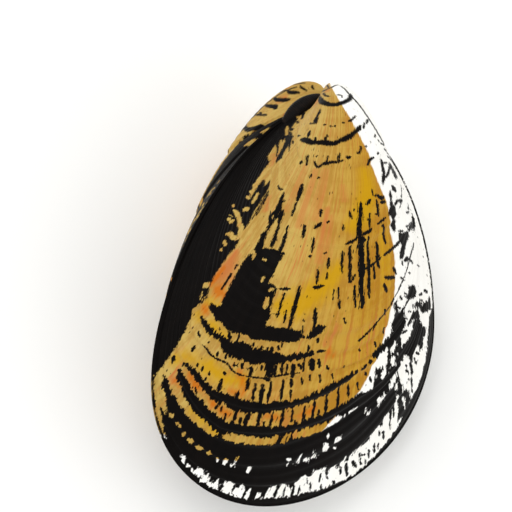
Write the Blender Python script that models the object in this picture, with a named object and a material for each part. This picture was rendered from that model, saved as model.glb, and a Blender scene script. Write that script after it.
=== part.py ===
"""A closed bivalve shell at rest on its left valve, in metres, +Z up.

Two hollow valves grow from one hinge pole, and a spindle-shaped ligament lies in the groove
behind their beaks. A valve is a growth spiral: its margin, made smaller by a fixed rate while it
turns about the hinge axis, sweeps out the outer surface, so that every growth line is a small
copy of the margin.
"""

import math

import bmesh
import bpy
import numpy as np
from mathutils import Vector

MM = 0.001

# The margin, in the plane where the valves meet, measured from the hinge pole.
# X runs towards the front (anterior) end, Y towards the hinge side, Z into the right valve.
POSTERIOR_END = np.array((-28.2, -39.4)) * MM
VENTRAL_POINT = np.array((-9.5, -57.6)) * MM
ANTERIOR_END = np.array((16.9, -32.0)) * MM
POSTERIOR_DORSAL_SLOPE = math.radians(5.0)
ANTERIOR_DORSAL_SLOPE = math.radians(22.0)
POSTERIOR_HANDLES = np.array((15.6, 13.5)) * MM
VENTRAL_HANDLES = np.array((11.3, 9.9, 13.1, 15.1)) * MM
ANTERIOR_HANDLES = np.array((14.2, 11.4)) * MM

# How the valve grew: the rate at which its size falls with each radian of turn, the whole turn
# up to the beak, the tilt of the hinge axis, and how far the swollen part leans backwards.
SPIRAL_RATE = 1.12
BEAK_TURN = math.radians(160.0)
HINGE_AXIS_TILT = math.radians(-6.0)
BACKWARD_LEAN = 0.12

# Growth rests, as shares of the full size, each a low ledge on the outer surface.
GROWTH_RESTS = (0.955, 0.905, 0.862, 0.817, 0.762, 0.712, 0.668, 0.632)
LEDGE_HEIGHT = 0.35 * MM
LEDGE_WIDTH_SHARE = 0.012
BEAK_ROWS = 20
RAYS = 52

# The cavity leaves a wall that is thick at the hinge pole and thin at the middle of the valve.
CAVITY_CENTRE = np.array((-5.0, -36.0)) * MM
CAVITY_TURN = math.radians(75.0)
WALL_SHARE_AT_MARGIN = 0.12
WALL_SHARE_PER_RADIAN = 0.25
CAVITY_ROWS = 8
CAVITY_RAYS = 30
MARGIN_GAP = 0.3 * MM

# The ligament, a spindle in the plane between the valves.
LIGAMENT_CENTRE = Vector((-4.2, -1.4, 0.0)) * MM
LIGAMENT_HALF_LENGTH = 4.0 * MM
LIGAMENT_HALF_HEIGHT = 1.9 * MM
LIGAMENT_HALF_WIDTH = 1.35 * MM
LIGAMENT_SLOPE = math.radians(34.5)
LIGAMENT_CLEARANCE = 0.3 * MM

# How the closed shell lies: turned about X and then Y until its weight is over its lowest point,
# and raised until the small flat worn there is on the floor.
REST_TURN_X = math.radians(14.4)
REST_TURN_Y = math.radians(17.4)
REST_SHIFT = Vector((7.99, 25.9, 20.04)) * MM
CUTTER_SIZE = 100 * MM

SHELL_COLOUR = (0.62, 0.38, 0.12, 1.0)
LIGAMENT_COLOUR = (0.035, 0.022, 0.016, 1.0)


def arc(start, start_handle, end_handle, end, count):
    """Points on one cubic arc, from its start up to just before its end."""
    t = (np.arange(count) / count)[:, None]
    near = (1 - t) ** 3 * start + 3 * (1 - t) ** 2 * t * start_handle
    far = 3 * (1 - t) * t**2 * end_handle + t**3 * end
    return near + far


def margin(rays):
    """The margin as points at even spacing, from the pole by the posterior end to the pole."""
    pole = np.zeros(2)
    across = np.array((1.0, 0.0))
    up = np.array((0.0, 1.0))
    leave = np.array((-math.cos(POSTERIOR_DORSAL_SLOPE), -math.sin(POSTERIOR_DORSAL_SLOPE)))
    arrive = np.array((math.cos(ANTERIOR_DORSAL_SLOPE), -math.sin(ANTERIOR_DORSAL_SLOPE)))
    fine = 200
    line = np.vstack(
        (
            arc(pole, leave * POSTERIOR_HANDLES[0], POSTERIOR_END + up * POSTERIOR_HANDLES[1],
                POSTERIOR_END, fine),
            arc(POSTERIOR_END, POSTERIOR_END - up * VENTRAL_HANDLES[0],
                VENTRAL_POINT - across * VENTRAL_HANDLES[1], VENTRAL_POINT, fine),
            arc(VENTRAL_POINT, VENTRAL_POINT + across * VENTRAL_HANDLES[2],
                ANTERIOR_END - up * VENTRAL_HANDLES[3], ANTERIOR_END, fine),
            arc(ANTERIOR_END, ANTERIOR_END + up * ANTERIOR_HANDLES[0],
                arrive * ANTERIOR_HANDLES[1], pole, fine),
            pole,
        )
    )
    run = np.concatenate(([0.0], np.cumsum(np.linalg.norm(np.diff(line, axis=0), axis=1))))
    even = np.linspace(0.0, run[-1], rays + 1)
    return np.column_stack([np.interp(even, run, line[:, k]) for k in range(2)])


def grown(outline, turn):
    """The outline as it was when the valve still had this far to turn: smaller, and turned up."""
    size = math.exp(-SPIRAL_RATE * turn)
    along = np.array((math.cos(HINGE_AXIS_TILT), math.sin(HINGE_AXIS_TILT)))
    square = np.array((-along[1], along[0]))
    u = size * (outline @ along)
    v = size * (outline @ square)
    height = -v * math.sin(turn)
    flat = np.outer(u, along) + np.outer(v * math.cos(turn), square)
    return np.column_stack((flat[:, 0] - BACKWARD_LEAN * height, flat[:, 1], height))


def outer_rows():
    """Turn and depth of each outer row: below each growth rest the surface steps in."""
    rows = [(1.0, 0.0)]
    for rest in GROWTH_RESTS:
        rows += [(rest + LEDGE_WIDTH_SHARE, LEDGE_HEIGHT), (rest, 0.0)]
    oldest = GROWTH_RESTS[-1]
    beak = math.exp(-SPIRAL_RATE * BEAK_TURN)
    for k in range(1, BEAK_ROWS + 1):
        rows.append((oldest * (beak / oldest) ** (k / BEAK_ROWS), 0.0))
    return [(-math.log(size) / SPIRAL_RATE, depth) for size, depth in rows]


def linked(name, bm, colour=None):
    """A mesh object from bmesh geometry, shaded smooth, with its own material if it is shown."""
    bmesh.ops.recalc_face_normals(bm, faces=bm.faces)
    mesh = bpy.data.meshes.new(name)
    bm.to_mesh(mesh)
    bm.free()
    mesh.shade_smooth()
    mesh.set_sharp_from_angle(angle=math.radians(50.0))
    piece = bpy.data.objects.new(name, mesh)
    bpy.context.scene.collection.objects.link(piece)
    if colour:
        mesh.materials.append(plain_material(name, colour))
    else:
        piece.hide_render = True
        piece.display_type = "WIRE"
    return piece


def plain_material(name, colour):
    """A Principled material of one colour."""
    material = bpy.data.materials.new(name)
    material.use_nodes = True
    shader = material.node_tree.nodes["Principled BSDF"]
    shader.inputs["Base Color"].default_value = colour
    shader.inputs["Roughness"].default_value = 0.4
    shader.inputs["Metallic"].default_value = 0.0
    return material


def skin(bm, rings):
    """Faces between closed rings of the same count, with the first and last ring filled in."""
    count = len(rings[0])
    for lower, upper in zip(rings, rings[1:]):
        for k in range(count):
            corners = (lower[k], lower[(k + 1) % count], upper[(k + 1) % count], upper[k])
            unique = list(dict.fromkeys(corners))
            if len(unique) > 2:
                bm.faces.new(unique)
    bm.faces.new(list(reversed(rings[0])))
    bm.faces.new(rings[-1])


def outer_body(name, side, colour):
    """A valve before it is hollowed. Every ring shares the one vertex at the hinge pole."""
    bm = bmesh.new()
    lift = Vector((0.0, 0.0, MARGIN_GAP / 2))
    pole = bm.verts.new(lift * side)
    outline = margin(RAYS)
    far = np.linalg.norm(outline, axis=1).max()
    rings = []
    for turn, depth in outer_rows():
        points = grown(outline * (1.0 - depth / far), turn)[1:-1]
        rings.append([pole] + [bm.verts.new((x, y, side * (z + lift.z))) for x, y, z in points])
    skin(bm, rings)
    return linked(name, bm, colour)


def cavity(name, side):
    """The hollow of a valve: rings drawn in towards one centre, and more so the further up."""
    bm = bmesh.new()
    outline = margin(CAVITY_RAYS)[:-1]
    rings = []
    for row in range(CAVITY_ROWS + 1):
        turn = CAVITY_TURN * row / CAVITY_ROWS
        keep = 1.0 - WALL_SHARE_AT_MARGIN - WALL_SHARE_PER_RADIAN * turn
        points = grown(CAVITY_CENTRE + (outline - CAVITY_CENTRE) * keep, turn)
        if row == 0:
            rings.append([bm.verts.new((x, y, -side * MM)) for x, y, z in points])
        rings.append([bm.verts.new((x, y, side * (z + MARGIN_GAP / 2))) for x, y, z in points])
    skin(bm, rings)
    return linked(name, bm)


def spindle(name, extra, colour=None):
    """The ligament, or with extra room all round the groove that it lies in."""
    bm = bmesh.new()
    bmesh.ops.create_uvsphere(bm, u_segments=20, v_segments=12, radius=1.0)
    for vert in bm.verts:
        taper = 1.0 - 0.25 * vert.co.z**2
        across = vert.co.x * taper * (LIGAMENT_HALF_HEIGHT + extra)
        along = vert.co.z * (LIGAMENT_HALF_LENGTH + extra)
        width = vert.co.y * taper * (LIGAMENT_HALF_WIDTH + extra)
        dx = -along * math.cos(LIGAMENT_SLOPE) - across * math.sin(LIGAMENT_SLOPE)
        dy = -along * math.sin(LIGAMENT_SLOPE) + across * math.cos(LIGAMENT_SLOPE)
        vert.co = LIGAMENT_CENTRE + Vector((dx, dy, width))
    return linked(name, bm, colour)


def floor_block():
    """What the left valve loses where it has worn flat: all that is below the floor."""
    bm = bmesh.new()
    bmesh.ops.create_cube(bm, size=CUTTER_SIZE)
    bmesh.ops.translate(bm, verts=bm.verts, vec=(0.0, 0.0, -CUTTER_SIZE / 2))
    return linked("floor_cutter", bm)


def cut(piece, cutter):
    """Takes the cutter's shape out of the piece."""
    modifier = piece.modifiers.new(cutter.name, "BOOLEAN")
    modifier.operation = "DIFFERENCE"
    modifier.solver = "EXACT"
    modifier.object = cutter


def main():
    for old in list(bpy.data.objects):
        bpy.data.objects.remove(old)
    attitude = bpy.data.objects.new("shell_at_rest", None)
    bpy.context.scene.collection.objects.link(attitude)
    attitude.rotation_euler = (REST_TURN_X, REST_TURN_Y, 0.0)
    attitude.location = REST_SHIFT
    groove = spindle("ligament_groove", LIGAMENT_CLEARANCE)
    ligament = spindle("ligament", 0.0, LIGAMENT_COLOUR)
    pieces = [groove, ligament]
    floor = floor_block()
    for name, side in (("right_valve", 1), ("left_valve", -1)):
        valve = outer_body(name, side, SHELL_COLOUR)
        hollow = cavity(name + "_cavity", side)
        cut(valve, hollow)
        cut(valve, groove)
        pieces += [valve, hollow]
        if side < 0:
            cut(valve, floor)
    for piece in pieces:
        piece.parent = attitude


main()
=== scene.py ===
"""The look of a closed clam that lies on its left valve: two valves and their ligament.

Every valve is one surface of two parameters. The ray runs round the margin from the hinge pole by
the posterior end back to the pole, as a share from 0 to 1. The growth is the size that the valve
had when that line was its edge, as a share from the beak to 1 at the margin.
"""

import math

import bpy
import numpy as np
from mathutils import Euler, Matrix, Vector


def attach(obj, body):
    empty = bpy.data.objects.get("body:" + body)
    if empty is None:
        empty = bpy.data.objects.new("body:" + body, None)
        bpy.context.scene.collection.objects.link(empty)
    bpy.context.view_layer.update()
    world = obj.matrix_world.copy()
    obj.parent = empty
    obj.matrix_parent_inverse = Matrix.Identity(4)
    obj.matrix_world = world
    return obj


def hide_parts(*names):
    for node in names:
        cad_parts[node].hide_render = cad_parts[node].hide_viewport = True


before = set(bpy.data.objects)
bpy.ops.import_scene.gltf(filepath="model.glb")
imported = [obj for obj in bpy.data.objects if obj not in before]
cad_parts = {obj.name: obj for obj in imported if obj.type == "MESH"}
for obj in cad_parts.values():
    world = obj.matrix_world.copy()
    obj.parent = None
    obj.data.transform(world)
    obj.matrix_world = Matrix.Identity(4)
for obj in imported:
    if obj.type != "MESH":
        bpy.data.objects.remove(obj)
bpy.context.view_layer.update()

bl_info = {
    "name": "Clam Shell",
    "version": (1, 0, 0),
    "blender": (4, 5, 0),
    "location": "3D View > Sidebar > Clam",
    "description": "Builds a closed clam shell with its pigment marks, growth rests and ligament",
    "category": "Add Mesh",
}

MM = 0.001

# The margin, in the plane where the valves meet, in mm from the hinge pole, as in the solids.
POSTERIOR_END = np.array((-28.2, -39.4))
VENTRAL_POINT = np.array((-9.5, -57.6))
ANTERIOR_END = np.array((16.9, -32.0))
POSTERIOR_DORSAL_SLOPE = math.radians(5.0)
ANTERIOR_DORSAL_SLOPE = math.radians(22.0)
POSTERIOR_HANDLES = (15.6, 13.5)
VENTRAL_HANDLES = (11.3, 9.9, 13.1, 15.1)
ANTERIOR_HANDLES = (14.2, 11.4)
POINTS_PER_ARC = 400

# Round lengths, within 3 percent, of the margin and of the middle ray over the whole growth. The
# sizes of the patterns below are worked out with them, so they are as near.
MARGIN_LENGTH_MM = 157.0
MM_PER_GROWTH = 77.0

# The growth spiral, and how the closed shell lies.
SPIRAL_RATE = 1.12
BEAK_TURN = math.radians(160.0)
HINGE_AXIS_TILT = math.radians(-6.0)
BACKWARD_LEAN = 0.12
REST_TURN = np.array(Euler((math.radians(14.4), math.radians(17.4), 0.0)).to_matrix())
REST_SHIFT = np.array((7.99, 25.9, 20.04))

# The grid of a valve, its flat edge, and its inside, which isn't seen while the shell is closed.
RAYS = 400
OUTER_ROWS = 226
INNER_ROWS = 8
EDGE_INSET_SHARE = 0.005
EDGE_LIFT_MM = 0.03
CAVITY_CENTRE = np.array((-5.0, -36.0))
CAVITY_TURN = math.radians(70.0)
WALL_SHARE_AT_MARGIN = 0.12
WALL_SHARE_PER_RADIAN = 0.25

# The relief. Ledge sizes are shares of the growth, and all of it dies out near the hinge pole.
SKIN_INSET_MM = 0.06
LEDGE_WIDTH = 0.009
LEDGE_REACH = 0.04
MIDDLE_RAY = 50
LINE_SHARPNESS = 1.5
LINES_AT_BEAK = 0.15
LINES_DEEPEN = 2.2
RELIEF_FADE_MM = 4.0

# Slow waves that make the growth lines uneven: (size, by ray, by age, start), in radians.
UNEVEN_WAVES = ((0.9, 23.0, 0.0, 1.3), (1.7, 0.0, 31.0, 0.0), (0.8, 0.0, 83.0, 0.0))

# How far from a mark or a zone its field still tells the distance, in mm.
MARK_REACH_MM = 1.6
ZONE_REACH_MM = 3.0
GRID_STEP_MM = 0.45
LEAST_GROWTH = 0.08
LEAST_MM_PER_GROWTH = 8.0
PATH_PER_RADIUS = 1.1
PIECES_PER_STRETCH = 6
END_TAPER = 1.5
SHORT_MARK_ENDS = (0.6, 0.5)
NO_ROOM = -3.0
INK_LAYERS = 4
SLIT_LAYERS = 2

# Patterns of the shell: (width along the margin, length towards it) of one cell at full size, in
# mm. Combs and grain break the edges of marks by their depth, and MIDDLE is where they do nothing.
COMB_MM = (0.6826, 3.013)
COMB_DEPTH_MM = 1.3
COMB_MIDDLE = 0.44
GRAIN_MM = (0.3413, 0.6696)
GRAIN_DEPTH_MM = 0.8
GRAIN_MIDDLE = 0.43
THIN_GRAIN_MM = 0.6
THIN_COMB_MM = 0.35
IVORY_COMB_MM = 0.5
BAND_SWELL = 1.15
EDGE_SOFTNESS_MM = 0.06
SPECK_MM = (1.0467, 1.6427)
SPECK_PATCH_MM = (17.44, 15.4)
SPECK_SHARE = 1.13
SPECK_SIZE = 0.9
IVORY_SPECKS = 0.05
IVORY_SPECK_SOFTNESS_MM = 0.5
SPECK_PATCH_SHARE = 0.5
STREAK_MM = (1.4273, 25.67)
BROAD_MM = (13.08, 15.4)
FLECK_MM = (0.4758, 1.283)
FLUSH_MM = (0.8263, 11.0)
CHALK_MM = (2.617, 7.7)
UMBER_MM = (1.744, 4.81)
BUMP_MM = (0.6038, 3.85)
GROWTH_BAND_MM = 2.265
FINE_LINE_MM = 0.2962
MOTTLE_MM = 2.5
FIBRE_MM = 1.111

# How much each pattern adds to the body's tone. A rise is the factor and the offset that turn a
# pattern into a share of a colour.
TONE_START = -0.1
STREAK_SHARE = 0.9
BAND_SHARE = 0.5
BROAD_SHARE = 0.6
FLECK_SHARE = 0.5
TONE_RISE = (3.3, -3.3)
FLUSH_RISE = (5.0, -2.75)
PATCHY_RISE = (2.0, -0.4)
BROKEN_RISE = (3.0, -1.5)
FRONT_FROM_RAY = 0.36
FRONT_FULL_RAY = 0.56

# Zones of colour and how softly each ends, in mm.
ZONE_SOFTNESS_MM = {"gold": 1.0, "pink": 0.7, "rust": 0.6}
ZONE_STRENGTH = 0.88
IVORY_SOFTNESS_MM = 0.12

# Gloss. The specular levels are set below real ones, so that the black marks stay black.
SHELL_IOR = 1.53
SHELL_SPECULAR = 0.04
SHELL_ROUGHNESS = (0.30, 0.52)
SHELL_BUMP_MM = 0.04
SHELL_BUMP_STRENGTH = 0.5
RAY_BUMP_SHARE = 0.25
LIGAMENT_IOR = 1.5
LIGAMENT_SPECULAR = 0.08
LIGAMENT_ROUGHNESS = (0.34, 0.6)
LIGAMENT_BUMP_MM = 0.05
LIGAMENT_BUMP_STRENGTH = 0.4
FIBRE_RANGE = (0.45, 0.8)

# The ligament, in mm from the hinge pole.
LIGAMENT_CENTRE = np.array((-4.2, -1.4, 0.0))
LIGAMENT_HALF = np.array((4.0, 1.9, 1.35))
LIGAMENT_SLOPE = math.radians(34.5)
LIGAMENT_STRIAE = 26
LIGAMENT_STRIA_DEPTH = 0.05
LIGAMENT_BLUNT_ENDS = 0.25
LIGAMENT_ROWS = 180
LIGAMENT_SIDES = 48

# How the picture shows the shell: its frame and the shell's height in it, the pixel of the hinge
# pole from the top left, and how far the camera turns from straight above the right valve.
FRAME_PIXELS = 512
SHELL_HEIGHT_PIXELS = 423
SHELL_HEIGHT_MM = 60.0
MM_PER_PIXEL = SHELL_HEIGHT_MM / SHELL_HEIGHT_PIXELS
HINGE_PIXEL = (329, 101)
CAMERA_TO_POSTERIOR_END = math.radians(26.0)
CAMERA_TO_HINGE_SIDE = math.radians(3.0)
AIM_ABOVE_PLANE_MM = 8.0
SENSOR_MM = 36.0
FARTHEST_SEEN_M = 100.0

# The floor and the light: each lamp has a place in metres, a power in watts and a side in metres.
FLOOR_HALF_M = 1.5
FLOOR_ROUGHNESS = 0.9
SKY_STRENGTH = 0.9
LAMPS = {"key": ((-0.25, 0.3, 0.75), 1.9, 0.6), "fill": ((0.5, -0.5, 0.6), 1.0, 0.7)}

# Growth rests of both valves: where each crosses the rays, as (ray in hundredths, growth).
RESTS = (
    ((30, 0.34), (40, 0.31), (50, 0.30), (64, 0.29)),
    ((30, 0.50), (40, 0.46), (50, 0.45), (64, 0.44)),
    ((31, 0.775), (34, 0.745), (37, 0.718), (40, 0.687), (43, 0.66), (46, 0.64), (50, 0.615)),
    ((31, 0.81), (35, 0.766), (38, 0.74), (41, 0.715), (44, 0.69), (47, 0.667), (50, 0.652)),
    ((31, 0.85), (34, 0.812), (37, 0.785), (40, 0.765), (43, 0.738), (46, 0.71), (50, 0.69)),
    ((32, 0.90), (34.5, 0.869), (38, 0.842), (42, 0.812), (45, 0.79), (50, 0.752), (57, 0.714)),
    ((32, 0.925), (34, 0.90), (38, 0.883), (42, 0.868), (45, 0.843), (50, 0.812), (58, 0.78)),
    ((33, 0.955), (36, 0.927), (40, 0.907), (44, 0.88), (48, 0.857), (52, 0.83), (58, 0.80)),
    ((33, 0.975), (38, 0.948), (42, 0.93), (46, 0.915), (51, 0.89), (56, 0.865), (62, 0.83)),
    ((33, 0.985), (40, 0.972), (46, 0.957), (52, 0.94), (58, 0.925), (64, 0.88)),
)

# Marks of dark pigment on the right valve, and painted shade on its flank. An area is a closed
# line of (ray, growth) corners, and a path runs through (ray, growth, half its width in mm). Rays
# are in hundredths. The first areas are the flank at the posterior end, which is painted shade of
# the slope turned from the light in the near-black of the marks, and the shapes in front of it.
PAINTED_SHADE_FLANK = (
    (0, 0.36), (6, 0.45), (9, 0.46), (12, 0.46), (14, 0.475), (16.5, 0.50), (19, 0.49),
    (17.5, 0.515), (15, 0.54), (13, 0.585), (14.8, 0.61), (16.4, 0.58), (17.3, 0.555),
    (18.3, 0.60), (19.6, 0.635), (21.6, 0.635), (21.8, 0.62), (20.9, 0.59), (20.8, 0.565),
    (21.5, 0.548), (22.9, 0.545), (23, 0.515), (24, 0.503), (24.8, 0.52), (25.3, 0.555),
    (26, 0.595), (26.8, 0.605), (26.6, 0.632), (27.6, 0.655), (27.9, 0.668), (27.6, 0.69),
    (27.9, 0.73), (28.2, 0.76), (28.9, 0.772), (29.2, 0.79), (29.3, 0.815), (29.1, 0.85),
    (29.8, 0.852), (30, 0.865), (30.7, 0.876), (31.1, 0.895), (31.4, 0.92), (31.7, 0.955),
    (31.9, 0.975), (32, 1.04), (0, 1.04),
)
NECK = (
    (16, 0.41), (17.5, 0.395), (18.5, 0.382), (20, 0.387), (23.5, 0.393), (20.3, 0.405),
    (20.6, 0.425), (22, 0.442), (21.4, 0.46), (21, 0.48), (19.8, 0.487), (18.6, 0.465),
    (17, 0.45), (15.6, 0.462), (14, 0.49), (13, 0.51), (14.2, 0.46), (15.6, 0.43),
)
BLOTCH = (
    (32.4, 0.57), (32, 0.60), (31.8, 0.61), (31.7, 0.64), (32, 0.67), (32.4, 0.70), (32.6, 0.718),
    (33, 0.728), (32.5, 0.742), (31.8, 0.752), (31.2, 0.765), (31.3, 0.775), (32, 0.77),
    (32.8, 0.757), (33.6, 0.757), (34.6, 0.737), (36, 0.728), (37, 0.718), (38, 0.702),
    (39, 0.691), (40, 0.687), (42, 0.667), (44, 0.653), (46.1, 0.641), (46.4, 0.632), (48, 0.628),
    (49.2, 0.615), (49.8, 0.602), (48.4, 0.60), (47.7, 0.61), (47.3, 0.628), (46.5, 0.625),
    (46.1, 0.618), (45, 0.623), (43.9, 0.625), (42.5, 0.636), (41.2, 0.643), (40.9, 0.648),
    (40.6, 0.64), (41, 0.628), (40.5, 0.618), (40.2, 0.60), (40, 0.574), (39.3, 0.575),
    (38.2, 0.583), (38.1, 0.545), (38.5, 0.53), (38.8, 0.515), (37.2, 0.525), (35.4, 0.54),
    (34, 0.553), (33.4, 0.545), (32.9, 0.56),
)
STEM = (
    (31.7, 0.436), (32.3, 0.432), (32.8, 0.446), (33.5, 0.441), (33.2, 0.452), (33.7, 0.462),
    (33.4, 0.485), (33, 0.50), (32.8, 0.52), (33.3, 0.54), (33.6, 0.555), (33, 0.575),
    (32.2, 0.575), (32.1, 0.555), (31.7, 0.55), (32.3, 0.53), (31.9, 0.515), (31, 0.515),
    (30.6, 0.50), (31.2, 0.50), (31.8, 0.49), (32, 0.47), (31.7, 0.455),
)
BRANCH = (
    (33.2, 0.48), (33.8, 0.462), (34.4, 0.455), (35, 0.46), (35.1, 0.475), (35.4, 0.50),
    (35.9, 0.51), (35.8, 0.53), (35.2, 0.533), (34.8, 0.51), (34.5, 0.485), (34, 0.478),
    (33.2, 0.495),
)

# The dark zone inside the lower edge, and the one on the margin itself, both with combed edges.
EDGE_ZONE = (
    (33, 0.955), (33.3, 0.948), (34.7, 0.937), (35.3, 0.942), (35.6, 0.927), (36.5, 0.927),
    (38, 0.917), (40, 0.907), (42, 0.897), (42.2, 0.885), (42.5, 0.891), (44, 0.88), (46, 0.867),
    (48, 0.857), (48.4, 0.85), (48.6, 0.835), (48.8, 0.85), (49.5, 0.851), (49.8, 0.83),
    (50, 0.841), (51, 0.836), (53.5, 0.831), (55, 0.822), (56.3, 0.811), (58, 0.804),
    (58.3, 0.78), (60.2, 0.776), (60.3, 0.75), (60, 0.737), (61.6, 0.749), (61.1, 0.757),
    (61.2, 0.774), (62.6, 0.775), (62.3, 0.755), (62.6, 0.735), (62.3, 0.715), (62, 0.704),
    (60.6, 0.705), (59.9, 0.71), (59.3, 0.70), (59.5, 0.69), (61.5, 0.686), (63.3, 0.684),
    (63.2, 0.668), (63.7, 0.66), (63.5, 0.62), (64.3, 0.62), (64.3, 0.65), (65, 0.665),
    (66.2, 0.665), (66.3, 0.69), (67, 0.702), (65.3, 0.715), (65.3, 0.75), (66.3, 0.76),
    (67.5, 0.762), (68.3, 0.76), (68.8, 0.753), (69.7, 0.762), (70.5, 0.78), (71.2, 0.80),
    (71.6, 0.83), (72.3, 0.86), (72.8, 0.88), (71.5, 0.87), (70.8, 0.882), (70.2, 0.868),
    (70, 0.845), (69, 0.832), (68.3, 0.838), (67.9, 0.85), (67.4, 0.825), (66.9, 0.80),
    (66.3, 0.788), (65.1, 0.795), (64.8, 0.82), (65.3, 0.84), (65.8, 0.87), (66.1, 0.91),
    (66.2, 0.96), (65.3, 0.96), (65.2, 0.88), (64.6, 0.862), (64.1, 0.88), (64, 0.93),
    (63.7, 0.90), (63.3, 0.888), (62.7, 0.887), (62.6, 0.91), (61.9, 0.903), (61.2, 0.91),
    (61, 0.925), (60.5, 0.92), (59.5, 0.922), (59.3, 0.935), (59, 0.918), (58.6, 0.92),
    (58.3, 0.945), (57.8, 0.92), (57.4, 0.93), (57.1, 0.945), (56.9, 0.93), (56.1, 0.935),
    (55.9, 0.95), (55.5, 0.92), (54, 0.92), (53.8, 0.935), (53.3, 0.925), (52.8, 0.93),
    (52.5, 0.955), (52.2, 0.96), (51.8, 0.95), (51, 0.94), (50.8, 0.955), (50, 0.95),
    (49.8, 0.985), (49.6, 0.982), (49.4, 0.968), (49, 0.967), (48.8, 0.985), (48.3, 0.985),
    (48.2, 0.965), (47.9, 0.963), (47.7, 0.985), (47.6, 0.965), (47, 0.955), (46.7, 0.965),
    (46.2, 0.962), (45.3, 0.957), (45.2, 0.985), (44.8, 0.965), (44.4, 0.968), (44.2, 0.988),
    (43.8, 0.965), (43.4, 0.962), (43.2, 0.985), (43, 0.965), (42.5, 0.965), (42, 0.978),
    (41.1, 0.98), (41, 0.99), (40.7, 0.973), (40.3, 0.972), (40.1, 0.99), (38, 0.99), (37, 0.985),
    (35.2, 0.98), (36.3, 0.97), (36, 0.953), (34.8, 0.955), (33.6, 0.962),
)
MARGIN_ZONE = (
    (37.5, 0.992), (39, 0.986), (43, 0.99), (48, 0.988), (49, 0.984), (52, 0.981), (55, 0.983),
    (57, 0.987), (58.5, 0.992), (61, 0.992), (63, 0.984), (65, 0.977), (66.5, 0.967), (66.8, 0.935),
    (67.3, 0.955), (69, 0.962), (71, 0.955), (72.5, 0.945), (74, 0.93), (75.2, 0.93), (76, 0.95),
    (77, 0.975), (79, 1.04), (37.5, 1.04),
)

# Four patches of the front half, and last a streak on the beak.
PATCHES = (
    ((68.3, 0.637), (69.3, 0.66), (70, 0.665), (70.6, 0.68), (71.1, 0.705), (70.2, 0.705),
     (69.3, 0.69), (68, 0.67), (67, 0.65), (66.4, 0.638), (67.6, 0.65)),
    ((63.3, 0.305), (64.2, 0.305), (64.8, 0.315), (64.2, 0.335), (64, 0.345), (62, 0.356),
     (61.4, 0.352), (62, 0.34), (62.8, 0.33), (63, 0.315)),
    ((64.2, 0.38), (65.2, 0.38), (65.3, 0.395), (64.9, 0.40), (65.2, 0.412), (66, 0.42),
     (66, 0.435), (65.8, 0.455), (65.4, 0.468), (64.5, 0.47), (63.7, 0.45), (63.8, 0.43),
     (62.4, 0.42), (63.5, 0.41), (64, 0.40)),
    ((66.4, 0.483), (67.3, 0.495), (68.5, 0.505), (69.5, 0.515), (70.3, 0.522), (71, 0.532),
     (71.2, 0.545), (70, 0.54), (69, 0.535), (68, 0.54), (66.5, 0.548), (65.2, 0.535),
     (65.8, 0.525), (66.8, 0.518), (66.3, 0.508), (65.6, 0.503)),
    ((33.5, 0.198), (34.8, 0.20), (34.8, 0.212), (33.8, 0.22), (34.6, 0.226), (34.4, 0.24),
     (33, 0.243), (31.6, 0.244), (31.6, 0.235), (32.4, 0.225), (33, 0.212)),
)

# Pale holes in the dark zones.
HOLES = (
    ((62.9, 0.712), (64.5, 0.716), (64.6, 0.735), (63.8, 0.737), (63.2, 0.74), (62.9, 0.725)),
    ((63, 0.745), (63.6, 0.745), (64.6, 0.757), (63.8, 0.76), (64.2, 0.78), (62.9, 0.765)),
    ((59.2, 0.82), (59.7, 0.822), (60.3, 0.85), (59.7, 0.84)),
    ((61, 0.818), (61.5, 0.815), (61.9, 0.83), (61.8, 0.848), (61.3, 0.848), (61, 0.835)),
    ((62, 0.815), (62.4, 0.815), (62.6, 0.83), (62.3, 0.845), (62.1, 0.84)),
    ((63.1, 0.81), (64.3, 0.802), (64.7, 0.81), (64.3, 0.825), (63.5, 0.83), (63, 0.822)),
    ((64.3, 0.84), (65, 0.833), (65.1, 0.85), (64.7, 0.86), (64.3, 0.85)),
    ((52.2, 0.87), (52.5, 0.885), (53.2, 0.888), (53.1, 0.90), (52.4, 0.897), (52, 0.88)),
    ((53.4, 0.87), (53.8, 0.866), (54.1, 0.89), (53.8, 0.90), (53.4, 0.89)),
    ((51.4, 0.885), (51.8, 0.878), (51.9, 0.90), (51.5, 0.905)),
    ((54.2, 0.86), (54.7, 0.855), (55.4, 0.88), (54.9, 0.885), (54.4, 0.875)),
    ((55.3, 0.86), (56.4, 0.853), (56.6, 0.87), (55.9, 0.87)),
    ((44.9, 0.905), (45.3, 0.90), (45.5, 0.928), (45, 0.93)),
)
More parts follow.
